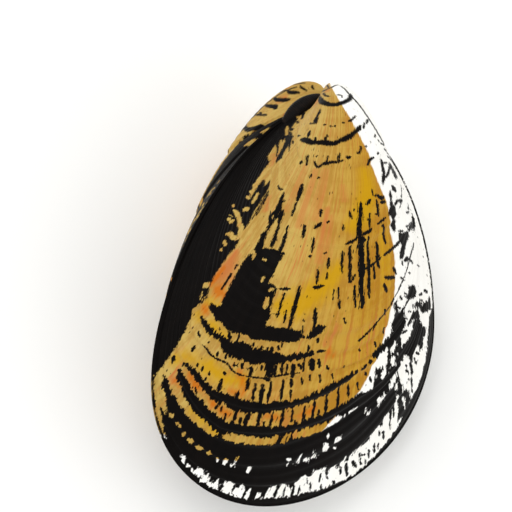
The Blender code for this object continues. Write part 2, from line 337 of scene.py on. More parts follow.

# Broad bands with combed edges, then thin lines, then the line along the lip, which is painted
# shade along the seam where the two valves meet.
BANDS = (
    ((31.1, 0.812, 0.1), (32, 0.80, 0.25), (33, 0.79, 0.35), (34, 0.778, 0.35), (35, 0.766, 0.35),
     (36, 0.752, 0.35), (37.3, 0.745, 0.7), (38.2, 0.737, 0.95), (39, 0.727, 1.1),
     (41, 0.713, 1.0), (42, 0.705, 0.95), (43, 0.695, 0.75), (45, 0.684, 0.6), (46, 0.675, 0.4),
     (48, 0.662, 0.35), (49.2, 0.656, 0.2)),
    ((34.2, 0.87, 0.15), (34.7, 0.868, 0.3), (35.5, 0.857, 0.3), (36.5, 0.85, 0.45),
     (38, 0.842, 0.45), (39.5, 0.832, 0.6), (40.5, 0.818, 0.6), (42, 0.813, 0.8),
     (43.5, 0.80, 0.85), (45, 0.79, 0.7), (47, 0.772, 0.65), (49, 0.76, 0.5), (51.5, 0.742, 0.5),
     (53, 0.731, 0.55), (54.5, 0.724, 0.4), (56, 0.717, 0.35), (56.8, 0.714, 0.2)),
    ((33.8, 0.90, 0.2), (35, 0.898, 0.5), (36, 0.892, 0.6), (38, 0.884, 0.75), (40, 0.874, 0.75),
     (41, 0.87, 0.85), (42, 0.867, 1.0), (43, 0.857, 0.7), (45, 0.842, 0.75), (46, 0.835, 0.85),
     (48, 0.825, 0.7), (50, 0.812, 0.6), (51, 0.805, 0.65), (53, 0.799, 0.7), (55, 0.791, 0.8),
     (58.6, 0.786, 1.0)),
    ((43.5, 0.70, 0.3), (44.1, 0.715, 0.55), (44.4, 0.735, 0.3)),
    ((67.3, 0.727, 0.2), (68.5, 0.732, 0.4), (69.3, 0.738, 0.5), (70, 0.755, 0.4), (70.6, 0.775, 0.3)),
    ((66.4, 0.90, 0.3), (67, 0.93, 0.5), (67, 0.95, 0.4)),
    ((69, 0.705, 0.1), (70.3, 0.73, 0.25), (71.2, 0.755, 0.35), (72.2, 0.79, 0.4),
     (73.3, 0.82, 0.5), (74.3, 0.85, 0.55), (75.2, 0.88, 0.6), (77, 0.95, 0.7)),
    ((71, 0.53, 0.2), (73, 0.548, 0.3), (74, 0.565, 0.4), (75.5, 0.59, 0.5), (77, 0.625, 0.6),
     (78.3, 0.655, 0.7), (79.5, 0.69, 0.7), (82, 0.77, 0.6), (84, 0.86, 0.2)),
    ((53.3, 0.373, 0.17), (53.4, 0.40, 0.3), (53.6, 0.432, 0.38), (54.3, 0.45, 0.5),
     (54.8, 0.49, 0.42), (55.1, 0.53, 0.4), (55.5, 0.562, 0.3), (55.7, 0.577, 0.12)),
    ((68, 0.34, 0.25), (69.5, 0.346, 0.4), (70.3, 0.36, 0.5), (71, 0.375, 0.55), (72.3, 0.39, 0.4),
     (74, 0.405, 0.15)),
)
LINES = (
    ((34.3, 0.812, 0.07), (35, 0.803, 0.12), (36, 0.796, 0.12), (37, 0.785, 0.12), (38.5, 0.768, 0.08),
     (40, 0.765, 0.08), (42, 0.748, 0.08), (44, 0.731, 0.09), (46, 0.71, 0.08), (48, 0.698, 0.06)),
    ((56, 0.645, 0.14), (58, 0.635, 0.12), (60, 0.625, 0.13), (62, 0.612, 0.14), (63.5, 0.602, 0.1),
     (66.5, 0.59, 0.12), (70, 0.583, 0.14), (73, 0.60, 0.2)),
    ((24, 0.145, 0.1), (28, 0.155, 0.25), (31, 0.165, 0.35), (34, 0.172, 0.4), (37, 0.176, 0.38),
     (40, 0.178, 0.37), (43, 0.176, 0.35), (46, 0.171, 0.32), (49, 0.165, 0.28), (51.5, 0.158, 0.28),
     (53, 0.152, 0.32), (54, 0.145, 0.28), (54.8, 0.137, 0.1)),
    ((26, 0.115, 0.06), (30, 0.12, 0.1), (34, 0.124, 0.12), (38, 0.12, 0.12), (41, 0.117, 0.12),
     (44, 0.109, 0.12), (48, 0.106, 0.06)),
    # This line runs along the edge of the beak where it turns out of view: painted shade that parts the
    # pale beak from the floor.
    ((48.8, 0.11, 0.08), (51.2, 0.122, 0.13), (53.6, 0.143, 0.16), (57, 0.163, 0.17),
     (60, 0.186, 0.18), (63, 0.215, 0.19), (65.5, 0.24, 0.2), (67.6, 0.265, 0.24),
     (70.2, 0.297, 0.24), (72.3, 0.325, 0.22), (74.3, 0.36, 0.2), (77.3, 0.42, 0.2)),
    ((70, 0.32, 0.08), (73, 0.35, 0.16), (76, 0.39, 0.16), (79, 0.45, 0.15)),
    ((27.2, 0.317, 0.08), (29, 0.308, 0.3), (31, 0.298, 0.42), (33, 0.292, 0.4), (35, 0.287, 0.36),
     (37, 0.28, 0.3), (40, 0.271, 0.42), (42, 0.269, 0.36), (44, 0.264, 0.3), (46, 0.256, 0.3),
     (48, 0.25, 0.38), (50, 0.243, 0.34), (52, 0.235, 0.26), (54, 0.227, 0.3), (55.2, 0.221, 0.1)),
    ((38, 0.318, 0.08), (39.5, 0.324, 0.15), (41, 0.314, 0.13), (42, 0.31, 0.2), (44, 0.303, 0.12),
     (45.5, 0.30, 0.16), (47.3, 0.294, 0.07)),
    ((52, 0.279, 0.14), (53, 0.277, 0.14), (53.8, 0.27, 0.14), (53.5, 0.263, 0.08)),
    ((6.5, 0.49, 0.2), (8, 0.43, 0.3), (10, 0.385, 0.3), (12, 0.355, 0.3), (14, 0.33, 0.2),
     (16, 0.31, 0.06)),
    ((34.3, 0.552, 0.2), (35.5, 0.54, 0.3), (37.2, 0.525, 0.32), (38.8, 0.513, 0.15)),
    ((50.3, 0.448, 0.08), (51.8, 0.443, 0.2), (53.2, 0.437, 0.18), (55, 0.432, 0.2),
     (56.3, 0.43, 0.25), (56.7, 0.425, 0.12)),
    ((54, 0.50, 0.08), (56, 0.50, 0.15), (57.6, 0.498, 0.2), (59.6, 0.493, 0.12)),
    ((55.9, 0.44, 0.17), (56.2, 0.47, 0.2), (56.5, 0.50, 0.27), (56.7, 0.53, 0.27), (57, 0.562, 0.15)),
    ((51.7, 0.45, 0.13), (52, 0.475, 0.27), (52.3, 0.50, 0.24), (52.6, 0.519, 0.2),
     (53.6, 0.505, 0.08)),
    ((64, 0.345, 0.18), (66, 0.345, 0.2), (68, 0.34, 0.25)),
    ((66, 0.418, 0.2), (67.5, 0.42, 0.17), (69, 0.43, 0.2), (71, 0.45, 0.35), (73, 0.467, 0.12)),
    ((71, 0.437, 0.1), (73, 0.455, 0.3), (75, 0.47, 0.2), (77, 0.49, 0.15), (80, 0.53, 0.1)),
    ((60.3, 0.493, 0.12), (62, 0.495, 0.2), (64, 0.498, 0.22), (66, 0.503, 0.25)),
    ((72.7, 0.50, 0.07), (74, 0.52, 0.12), (77, 0.57, 0.1)),
    ((76, 0.54, 0.1), (78, 0.58, 0.25), (80, 0.625, 0.3), (81.5, 0.67, 0.25), (83, 0.72, 0.1)),
    ((66.8, 0.555, 0.08), (68.2, 0.568, 0.35), (69, 0.58, 0.15), (70, 0.60, 0.12), (70.6, 0.62, 0.06)),
    ((66, 0.67, 0.1), (68.5, 0.672, 0.15)),
    ((56.8, 0.305, 0.2), (57, 0.296, 0.24), (59.3, 0.292, 0.12)),
    ((54.9, 0.379, 0.1), (56, 0.375, 0.28), (56.7, 0.371, 0.15)),
    ((58, 0.367, 0.1), (59, 0.369, 0.18), (60.3, 0.377, 0.3), (61.7, 0.38, 0.15)),
    ((29, 0.255, 0.06), (31, 0.249, 0.1), (33, 0.242, 0.1)),
    ((45.9, 0.536, 0.12), (46.7, 0.533, 0.22), (47.6, 0.527, 0.12)),
    ((37.2, 0.465, 0.1), (37.5, 0.49, 0.2), (37.7, 0.515, 0.24), (38, 0.545, 0.26), (38.1, 0.57, 0.2)),
    ((28.3, 0.453, 0.07), (29.5, 0.45, 0.12), (31, 0.436, 0.1)),
)
# The line along the lip is painted shade: a dark line along the seam where the two valves meet.
LIP_SHADE_LINE = (
    (1, 0.997, 0.1), (20, 0.997, 0.14), (36, 0.997, 0.16), (44, 0.996, 0.2), (54, 0.996, 0.2),
    (60, 0.997, 0.14), (80, 0.997, 0.16), (99, 0.997, 0.1),
)

# Short marks: (ray, growth, ray, growth, half width in mm) from end to end.
DASHES = (
    (36.7, 0.376, 37, 0.412, 0.32), (37, 0.415, 37.1, 0.446, 0.13), (32.5, 0.344, 33.1, 0.35, 0.2),
    (40.7, 0.438, 41.2, 0.463, 0.22), (43.4, 0.396, 43.6, 0.41, 0.18), (43, 0.434, 44.3, 0.419, 0.26),
    (45.3, 0.416, 46, 0.411, 0.11), (43.4, 0.45, 43.9, 0.477, 0.17), (43.5, 0.487, 44, 0.483, 0.1),
    (46.2, 0.471, 46.9, 0.467, 0.09), (45.9, 0.50, 46.3, 0.528, 0.17), (47.5, 0.475, 47.8, 0.497, 0.18),
    (47.8, 0.503, 48, 0.517, 0.15), (49.2, 0.411, 49.4, 0.424, 0.14), (50.3, 0.386, 51.2, 0.402, 0.18),
    (51.3, 0.387, 51.9, 0.384, 0.09), (53.7, 0.446, 55.2, 0.444, 0.35), (56.1, 0.395, 56.2, 0.427, 0.17),
    (55.4, 0.408, 56.4, 0.406, 0.13), (58.6, 0.458, 58.9, 0.492, 0.3), (58.3, 0.485, 59.2, 0.513, 0.27),
    (57.7, 0.498, 58.1, 0.53, 0.2), (50.1, 0.461, 50.6, 0.502, 0.2), (60.3, 0.43, 61.3, 0.475, 0.28),
    (60, 0.385, 62, 0.391, 0.2), (58.6, 0.376, 59, 0.411, 0.24), (57.9, 0.402, 59, 0.405, 0.12),
    (58.4, 0.423, 61.4, 0.421, 0.17), (50.5, 0.528, 50.9, 0.549, 0.13), (51, 0.55, 51.4, 0.569, 0.16),
    (49.6, 0.53, 49.9, 0.552, 0.07), (53.6, 0.528, 54.4, 0.572, 0.2), (60.7, 0.54, 63.4, 0.56, 0.26),
    (62.9, 0.534, 64.1, 0.56, 0.22), (60.4, 0.552, 61.3, 0.575, 0.36), (40.4, 0.572, 42.3, 0.557, 0.18),
    (41.5, 0.57, 41.9, 0.62, 0.14), (41.2, 0.617, 41.9, 0.613, 0.1), (42.8, 0.597, 43.3, 0.62, 0.16),
    (43.6, 0.543, 44.3, 0.63, 0.26), (45.7, 0.585, 45.9, 0.589, 0.12), (45.9, 0.597, 46, 0.603, 0.15),
    (47.3, 0.571, 48, 0.608, 0.25), (52.5, 0.587, 53.1, 0.60, 0.1), (46.1, 0.607, 46.4, 0.626, 0.12),
    (49.4, 0.653, 50.8, 0.65, 0.2), (49.2, 0.668, 49.6, 0.69, 0.5), (50.2, 0.668, 50.6, 0.684, 0.25),
    (46.8, 0.685, 47.3, 0.712, 0.35), (47.4, 0.682, 48.2, 0.69, 0.2), (48.1, 0.67, 48.4, 0.695, 0.15),
    (45.3, 0.692, 45.8, 0.712, 0.16), (46, 0.688, 46.3, 0.71, 0.14), (44.5, 0.70, 45, 0.722, 0.3),
    (40.4, 0.69, 40.7, 0.704, 0.14), (41.7, 0.683, 42, 0.70, 0.16), (42.5, 0.678, 42.8, 0.69, 0.16),
    (43, 0.672, 43.4, 0.688, 0.18), (43.7, 0.664, 44.2, 0.67, 0.2), (44.1, 0.655, 44.4, 0.663, 0.14),
    (48, 0.642, 48.2, 0.658, 0.15), (49.1, 0.625, 49.3, 0.637, 0.17), (36.4, 0.726, 37.3, 0.735, 0.3),
    (38, 0.703, 38.2, 0.717, 0.12), (41.7, 0.73, 42, 0.747, 0.25), (42.1, 0.75, 42.4, 0.777, 0.2),
    (43.1, 0.752, 43.7, 0.787, 0.15), (44, 0.745, 44.7, 0.785, 0.3), (44.9, 0.733, 45.5, 0.777, 0.18),
    (46.3, 0.72, 46.9, 0.763, 0.2), (47.7, 0.735, 48.1, 0.757, 0.13), (47.3, 0.715, 47.6, 0.73, 0.2),
    (41.6, 0.785, 41.8, 0.808, 0.2), (40.4, 0.825, 40.3, 0.852, 0.12), (42.6, 0.82, 42.9, 0.852, 0.24),
    (44, 0.80, 44.2, 0.842, 0.3), (45.3, 0.795, 45.5, 0.835, 0.2), (46.7, 0.785, 46.9, 0.825, 0.18),
    (47.8, 0.775, 48.1, 0.822, 0.2), (48.9, 0.775, 49.2, 0.80, 0.16), (50.3, 0.765, 50.6, 0.805, 0.2),
    (51.4, 0.755, 51.7, 0.797, 0.18), (52.9, 0.745, 53.3, 0.792, 0.24), (54.4, 0.733, 54.8, 0.782, 0.22),
    (57.4, 0.714, 58.3, 0.709, 0.28), (58.6, 0.707, 59.2, 0.708, 0.35), (51, 0.70, 51.4, 0.716, 0.15),
    # The next 24 fill in between the bands, and have no counterpart that was read.
    (36.6, 0.775, 36.9, 0.783, 0.12), (37.8, 0.757, 38, 0.766, 0.12), (39.3, 0.752, 39.6, 0.758, 0.14),
    (40.3, 0.738, 40.6, 0.748, 0.16), (42.8, 0.713, 43, 0.726, 0.15), (45.2, 0.70, 45.6, 0.706, 0.12),
    (48.6, 0.708, 48.9, 0.722, 0.15), (49.6, 0.70, 49.8, 0.712, 0.12), (51.6, 0.682, 52, 0.69, 0.14),
    (52.8, 0.70, 53.1, 0.712, 0.13), (54.3, 0.688, 54.6, 0.695, 0.1), (38.5, 0.862, 38.9, 0.87, 0.13),
    (40.8, 0.835, 41.1, 0.848, 0.16), (37.2, 0.815, 37.5, 0.82, 0.12), (35.2, 0.838, 35.6, 0.842, 0.14),
    (41.6, 0.84, 41.8, 0.856, 0.14), (43.4, 0.825, 43.6, 0.842, 0.16), (46, 0.81, 46.2, 0.826, 0.13),
    (49.6, 0.795, 49.8, 0.81, 0.14), (52.2, 0.775, 52.4, 0.79, 0.13), (55.8, 0.735, 56.1, 0.765, 0.16),
    (57.2, 0.738, 57.5, 0.758, 0.13), (58.3, 0.725, 58.6, 0.736, 0.16), (59.2, 0.745, 59.6, 0.76, 0.18),
    # From here on most are read, and some bars across the white edge are filled in between them.
    (30.8, 0.652, 31, 0.664, 0.14), (31, 0.677, 31.2, 0.722, 0.17), (32.1, 0.912, 32.5, 0.925, 0.3),
    (33.4, 0.838, 33.5, 0.853, 0.2), (32.2, 0.823, 33.3, 0.815, 0.12), (33.8, 0.88, 33.9, 0.888, 0.12),
    (34.1, 0.907, 34.3, 0.916, 0.13), (36.1, 0.826, 36.4, 0.834, 0.16), (37.3, 0.828, 37.5, 0.834, 0.15),
    (39.1, 0.797, 39.6, 0.825, 0.32), (38.8, 0.788, 39.2, 0.782, 0.2), (36.9, 0.866, 37.5, 0.872, 0.12),
    (34.8, 0.748, 35, 0.752, 0.15), (34.6, 0.795, 34.9, 0.789, 0.12), (38.2, 0.234, 39.2, 0.231, 0.15),
    (41.2, 0.233, 42.1, 0.23, 0.12), (43.1, 0.231, 43.4, 0.226, 0.12), (46.4, 0.219, 47.2, 0.216, 0.14),
    (49.2, 0.214, 53.5, 0.199, 0.12), (56, 0.229, 58, 0.216, 0.14), (58.7, 0.218, 61.2, 0.209, 0.13),
    (62.2, 0.253, 63.8, 0.248, 0.15), (58.6, 0.26, 59.1, 0.258, 0.09), (61.4, 0.289, 62.6, 0.288, 0.15),
    (31.5, 0.268, 31.9, 0.287, 0.26), (35.7, 0.271, 36.6, 0.282, 0.16), (40, 0.258, 40.4, 0.272, 0.22),
    (40.6, 0.251, 40.6, 0.26, 0.1), (42.2, 0.294, 42, 0.311, 0.13), (45.9, 0.282, 45.5, 0.30, 0.16),
    (38.3, 0.308, 38.8, 0.304, 0.1), (35, 0.317, 35.5, 0.339, 0.2), (48.1, 0.289, 49.8, 0.286, 0.2),
    (55.8, 0.266, 56.6, 0.267, 0.15), (40.5, 0.345, 41, 0.34, 0.17), (38.2, 0.355, 38.4, 0.343, 0.1),
    (57.1, 0.352, 57.5, 0.366, 0.14), (32, 0.136, 36, 0.149, 0.12), (35, 0.149, 39.5, 0.153, 0.12),
    (44.3, 0.146, 47.7, 0.148, 0.12), (47.3, 0.149, 47, 0.155, 0.1), (36, 0.085, 38.4, 0.118, 0.09),
    (64, 0.262, 65, 0.268, 0.12), (65.5, 0.273, 69, 0.288, 0.13), (64.6, 0.315, 67.5, 0.326, 0.1),
    (66.2, 0.377, 68.6, 0.401, 0.42), (69, 0.445, 70.6, 0.457, 0.1), (66.3, 0.48, 68.5, 0.501, 0.17),
    (66, 0.548, 66.4, 0.562, 0.2), (70.3, 0.51, 72.2, 0.532, 0.14), (65.2, 0.577, 66.5, 0.60, 0.12),
    (68, 0.60, 69, 0.617, 0.08), (60.7, 0.608, 61.3, 0.625, 0.26), (58.6, 0.638, 59.2, 0.632, 0.14),
    (65.2, 0.623, 65.8, 0.637, 0.2), (63.8, 0.63, 65.3, 0.655, 0.12), (66.6, 0.632, 67.2, 0.645, 0.14),
    (61, 0.65, 61.4, 0.668, 0.18), (59.4, 0.668, 59.8, 0.683, 0.16), (74.7, 0.80, 76.7, 0.885, 0.22),
    (66.4, 0.82, 66.9, 0.842, 0.13), (66.7, 0.84, 67.2, 0.865, 0.14), (66.9, 0.87, 67.3, 0.89, 0.12),
    (67.6, 0.83, 68, 0.89, 0.28), (68, 0.88, 68, 0.945, 0.22), (68.6, 0.85, 69, 0.885, 0.14),
    (69.2, 0.85, 69.8, 0.872, 0.16), (72, 0.74, 73.3, 0.77, 0.17), (71.8, 0.75, 72.8, 0.78, 0.12),
    (67.6, 0.695, 68.3, 0.71, 0.1), (73.6, 0.68, 75.2, 0.73, 0.08), (65.6, 0.72, 67, 0.737, 0.2),
    (56.5, 0.665, 56.9, 0.67, 0.09), (60.1, 0.95, 60.6, 0.957, 0.16), (62.2, 0.92, 62.5, 0.94, 0.16),
    (59, 0.95, 59.6, 0.975, 0.24), (60, 0.965, 60.4, 0.98, 0.2), (61, 0.95, 61.2, 0.975, 0.17),
    (62.3, 0.955, 62.4, 0.975, 0.15), (56, 0.955, 56.2, 0.963, 0.12), (53.7, 0.94, 54, 0.958, 0.1),
    (58.2, 0.945, 58.6, 0.985, 0.25), (56.9, 0.975, 57.3, 0.988, 0.2), (52.5, 0.95, 52.6, 0.985, 0.22),
    (50.8, 0.95, 50.8, 0.982, 0.22), (63.9, 0.92, 64, 0.955, 0.14), (45.2, 0.955, 45.3, 0.99, 0.15),
    (51.6, 0.955, 51.7, 0.98, 0.1), (54.3, 0.955, 54.5, 0.978, 0.13), (55.2, 0.94, 55.3, 0.962, 0.16),
    (57.5, 0.945, 57.7, 0.968, 0.15), (59.8, 0.94, 60, 0.965, 0.22), (60.7, 0.972, 60.9, 0.99, 0.15),
    (61.7, 0.945, 61.9, 0.975, 0.2), (62.9, 0.935, 63.1, 0.962, 0.22), (64.3, 0.865, 64.5, 0.93, 0.22),
    (55.6, 0.97, 55.7, 0.985, 0.14), (53.2, 0.958, 53.3, 0.98, 0.12), (46.4, 0.96, 46.5, 0.984, 0.13),
    (25.3, 0.512, 25.6, 0.557, 0.07), (25.8, 0.51, 26.2, 0.577, 0.07), (26.3, 0.51, 26.8, 0.592, 0.07),
    (26.8, 0.53, 27.1, 0.572, 0.06), (29.2, 0.775, 29.3, 0.80, 0.1), (29.5, 0.785, 29.6, 0.812, 0.1),
    (23.2, 0.333, 25.6, 0.316, 0.12), (20.5, 0.38, 22.6, 0.369, 0.12), (12, 0.40, 10.5, 0.445, 0.2),
    (14.6, 0.415, 12.4, 0.462, 0.28), (13.5, 0.375, 12, 0.41, 0.14), (16.6, 0.405, 13.2, 0.468, 0.2),
)

# Pale slits within the dark areas, as paths or short marks.
SLIT_PATHS = (
    ((10, 0.42, 0.1), (8, 0.48, 0.25), (7, 0.54, 0.22), (6, 0.62, 0.08)),
    ((14, 0.47, 0.12), (12, 0.51, 0.25), (10, 0.56, 0.22), (8.6, 0.61, 0.08)),
    ((18, 0.47, 0.15), (16.5, 0.487, 0.35), (15, 0.51, 0.3), (13, 0.54, 0.1)),
    ((27.2, 0.645, 0.5), (25.8, 0.645, 0.35), (24.6, 0.66, 0.35), (23.3, 0.673, 0.28),
     (22.2, 0.69, 0.35), (21.3, 0.71, 0.22), (20.4, 0.733, 0.08)),
    ((27.1, 0.652, 0.14), (26.4, 0.668, 0.28), (25.4, 0.69, 0.34), (24.5, 0.705, 0.3), (23.6, 0.735, 0.1)),
)
SLITS = (
    (23.9, 0.617, 22.5, 0.656, 0.3), (25.6, 0.718, 24.4, 0.738, 0.3), (25.7, 0.736, 25.1, 0.751, 0.16),
    (28.3, 0.778, 27.7, 0.814, 0.34), (28.3, 0.81, 28.8, 0.822, 0.15), (22.8, 0.70, 22, 0.735, 0.24),
    (21.9, 0.728, 21, 0.756, 0.18), (19.9, 0.735, 19.2, 0.757, 0.14), (22.7, 0.578, 23.5, 0.603, 0.3),
    (19.2, 0.634, 20.6, 0.604, 0.2), (19.9, 0.648, 21.3, 0.614, 0.2), (20.4, 0.658, 21.7, 0.631, 0.17),
    (35.2, 0.565, 36, 0.556, 0.12), (37, 0.582, 37, 0.595, 0.16), (39, 0.592, 39.5, 0.58, 0.14),
    (39.3, 0.602, 39.5, 0.624, 0.28), (32.8, 0.583, 33.2, 0.595, 0.16), (32, 0.597, 32.6, 0.582, 0.2),
    (36.5, 0.957, 37, 0.952, 0.34), (37.6, 0.95, 38.3, 0.944, 0.26), (39, 0.94, 39, 0.952, 0.18),
    (39.8, 0.946, 40.3, 0.937, 0.45), (40.9, 0.941, 41.5, 0.932, 0.4), (42.1, 0.932, 42.6, 0.928, 0.36),
    (43.4, 0.926, 43.6, 0.935, 0.14), (44.2, 0.918, 44.4, 0.932, 0.26), (46.9, 0.913, 47, 0.928, 0.22),
    (50.4, 0.883, 50.9, 0.886, 0.2), (50.8, 0.895, 50.8, 0.902, 0.14), (54.6, 0.84, 54.7, 0.85, 0.17),
    (55.9, 0.882, 56.2, 0.887, 0.15), (55.5, 0.45, 55.6, 0.49, 0.1), (32.4, 0.49, 32.2, 0.50, 0.08),
)

# Zones of colour on the body, as paths of (ray, growth, half width in mm).
PINK_RAYS = (
    ((35, 0.34, 0.05), (35.3, 0.40, 0.14), (35.4, 0.45, 0.05)),
    ((39.2, 0.33, 0.05), (39.6, 0.39, 0.16), (39.8, 0.45, 0.05)),
    ((42.1, 0.32, 0.05), (42.4, 0.37, 0.14), (42.6, 0.42, 0.05)),
    ((52, 0.60, 0.2), (50.5, 0.64, 0.3)),
    ((29.2, 0.65, 0.6), (29.4, 0.70, 1.3), (29, 0.75, 1.0)),
    ((31.8, 0.67, 0.3), (32, 0.69, 0.3)),
    ((44.6, 0.39, 0.15), (45.2, 0.44, 0.28), (46, 0.49, 0.15)),
    ((45.9, 0.40, 0.1), (46.4, 0.44, 0.2), (47, 0.48, 0.12)),
    ((47.9, 0.34, 0.06), (48.8, 0.37, 0.14)),
    ((24, 0.17, 0.3), (28, 0.18, 0.2)),
    ((20, 0.50, 0.3), (16, 0.55, 0.3)),
    ((27, 0.51, 0.3), (29, 0.52, 0.3)),
    ((33.8, 0.93, 0.5), (34.6, 0.915, 0.6)),
    ((36, 0.127, 0.1), (38, 0.132, 0.1)),
)
GOLD_ZONES = (
    ((40.8, 0.60, 0.9), (43, 0.59, 1.6), (45.5, 0.56, 1.8), (48, 0.52, 1.4), (50.5, 0.49, 0.8)),
    ((50.5, 0.42, 0.8), (53, 0.40, 1.5), (55.5, 0.36, 1.6), (55, 0.31, 0.9)),
    ((30, 0.79, 0.8), (31.5, 0.76, 0.5), (32.7, 0.735, 0.3)),
    ((30, 0.83, 0.7), (31.5, 0.81, 0.3)),
    ((33, 0.775, 0.5), (34.5, 0.76, 0.8), (36.5, 0.735, 0.6)),
    ((33, 0.88, 0.5), (35, 0.84, 0.6), (37, 0.81, 1.1), (39.5, 0.79, 1.3), (42, 0.757, 0.8)),
    ((32, 0.92, 0.5), (33, 0.90, 0.5)),
    ((60, 0.44, 0.5), (61, 0.50, 0.7), (61, 0.56, 0.7)),
    ((38, 0.90, 0.4), (42, 0.885, 0.4)),
)
RUST_ZONES = (
    ((28.8, 0.71, 0.1), (28.9, 0.745, 0.5), (29.2, 0.765, 0.7)),
    ((48, 0.875, 0.1), (52, 0.85, 0.3), (54, 0.835, 0.1)),
    ((46, 0.80, 0.1), (49, 0.79, 0.25), (52, 0.77, 0.1)),
    ((32.4, 0.708, 0.6), (30.8, 0.735, 0.8), (29.4, 0.757, 0.7)),
    ((32, 0.78, 0.3), (30.6, 0.797, 0.6), (29.6, 0.812, 0.4)),
    ((40.2, 0.755, 0.4), (41.5, 0.765, 0.6), (42, 0.785, 0.5), (40.5, 0.80, 0.5)),
    ((34.8, 0.87, 0.3), (36, 0.867, 0.5), (38, 0.852, 0.35)),
    ((38.5, 0.851, 0.3), (41, 0.843, 0.5), (42.3, 0.835, 0.3)),
    ((34.4, 0.915, 0.4), (35.2, 0.912, 0.3)),
    ((51, 0.65, 0.3), (52.5, 0.665, 0.3)),
)

# The ivory front end and edge, as an area.
IVORY_ZONE = (
    (40.2, 0.03), (40.4, 0.10), (42, 0.13), (46, 0.17), (50, 0.203), (52.5, 0.23), (54.5, 0.25),
    (56.5, 0.275), (58, 0.30), (59.5, 0.33), (60.7, 0.36), (62.4, 0.39), (63, 0.42), (63.3, 0.46),
    (63.7, 0.50), (63.8, 0.54), (63.4, 0.58), (62.8, 0.62), (61.8, 0.66), (60.8, 0.69),
    (60, 0.71), (59, 0.74), (57.8, 0.765), (56, 0.785), (54.8, 0.805), (54, 0.82), (53, 0.85),
    (50, 0.88), (46, 0.905), (43, 0.935), (40, 0.965), (37.5, 0.99), (36, 1.04), (100, 1.04),
    (100, 0.03),
)

# The left valve, seen as a strip behind the hinge: its flank, painted shade in the near-black of
# the marks, starts lower, and ticks cross it.
LEFT_PAINTED_SHADE_FLANK = (
    (0, 0.34), (9, 0.40), (11, 0.40), (12, 0.385), (13, 0.39), (14, 0.375), (15.5, 0.37),
    (17.5, 0.36), (20, 0.345), (22, 0.35), (21.8, 0.365), (23, 0.345), (25, 0.34), (24.8, 0.355),
    (26.4, 0.345), (27, 0.36), (26.8, 0.38), (28, 0.40), (28.4, 0.44), (29, 0.50), (29.4, 0.58),
    (30, 0.68), (30.4, 0.78), (30.8, 0.87), (32, 0.94), (34, 1.04), (0, 1.04),
)
LEFT_LINES = (
    ((26, 0.067, 0.06), (29, 0.07, 0.12), (33, 0.067, 0.06)),
    ((22.5, 0.098, 0.06), (26, 0.10, 0.12), (29, 0.102, 0.12), (33, 0.10, 0.08)),
    ((22, 0.127, 0.08), (24, 0.13, 0.2), (26, 0.138, 0.26), (29, 0.14, 0.24), (32.5, 0.134, 0.12)),
    ((19.7, 0.178, 0.1), (22, 0.184, 0.3), (26, 0.183, 0.3), (29, 0.181, 0.24), (33, 0.172, 0.12)),
    ((19.7, 0.24, 0.12), (21.5, 0.228, 0.38), (23, 0.22, 0.38), (25, 0.216, 0.3), (28, 0.21, 0.25),
     (33, 0.20, 0.12)),
    ((21.4, 0.27, 0.06), (23, 0.262, 0.14), (25, 0.255, 0.12), (28, 0.244, 0.16), (31, 0.238, 0.08)),
    ((26, 0.25, 0.06), (28, 0.238, 0.1), (30, 0.232, 0.06)),
    ((15, 0.375, 0.1), (17, 0.362, 0.2), (19, 0.345, 0.3), (21, 0.335, 0.36), (23, 0.325, 0.38),
     (25, 0.315, 0.38), (27, 0.302, 0.36), (29, 0.29, 0.3), (31, 0.277, 0.25), (33.5, 0.262, 0.12)),
    ((31.5, 0.11, 0.07), (32.8, 0.16, 0.1), (33.2, 0.22, 0.1), (33.3, 0.28, 0.1), (33, 0.34, 0.1),
     (32.3, 0.42, 0.12)),
    ((20.8, 0.43, 0.12), (22.5, 0.415, 0.2), (24, 0.40, 0.12)),
    ((20.7, 0.385, 0.06), (22, 0.37, 0.08), (23.4, 0.355, 0.1)),
)


def linear(code):
    """An sRGB hex colour as linear RGB with alpha 1."""
    parts = [int(code[k : k + 2], 16) / 255 for k in (1, 3, 5)]
    return (*(p / 12.92 if p <= 0.04045 else ((p + 0.055) / 1.055) ** 2.4 for p in parts), 1.0)


def colour(name, description, code):
    """A colour that a user can change, with an sRGB hex value as its default."""
    return bpy.props.FloatVectorProperty(
        name=name, description=description, subtype="COLOR", size=4, default=linear(code)
    )


def length(name, description, metres):
    """A length that a user can change."""
    return bpy.props.FloatProperty(
        name=name, description=description, unit="LENGTH", precision=5, default=metres
    )


class ClamRelief(bpy.types.PropertyGroup):
    """Sizes of the relief on the valves."""

    ledge: length("Ledge height", "Depth of the step at a growth rest", 0.4 * MM)
    lines: length("Growth lines", "Depth of the fine growth lines", 0.07 * MM)
    spacing: length("Line spacing", "Distance between fine growth lines", 1.25 * MM)
    lip: length("Lip", "Half the width of the groove between the valves", 0.12 * MM)


class ClamColours(bpy.types.PropertyGroup):
    """Colours of the shell and its ligament."""

    tan: colour("Tan", "Beak and hinge side of the body", "#B18B43")
    pale: colour("Pale tan", "Lighter streaks of the beak", "#C3A559")
    ochre: colour("Ochre", "Front of the body", "#AD7A1E")
    amber: colour("Amber", "Lighter streaks of the front", "#BF9330")
    gold: colour("Gold", "Yellow zones of the body", "#C39408")
    pink: colour("Pink", "Salmon rays", "#BE6E38")
    rust: colour("Rust", "Orange-red bands", "#C2660A")
    ivory: colour("Ivory", "The pale edge", "#FDFCF8")
    chalk: colour("Chalk", "Duller streaks of the pale edge", "#F5F2EA")
    # The pigment colour is also the painted shade of the flanks, the lip line and the beak's edge line.
    pigment_and_shade: colour("Pigment", "The near-black marks", "#060505")
    umber: colour("Umber", "Browner parts of the marks", "#0F0B09")
    horn: colour("Horn", "The ligament", "#0B0807")
    fibre: colour("Fibre", "Paler fibres of the ligament", "#1F1611")


class ClamStage(bpy.types.PropertyGroup):
    """The floor and the camera."""

    floor: colour("Floor", "Colour of the floor", "#FAFAF8")
    distance: length("Camera distance", "From the shell to the camera", 2.5)


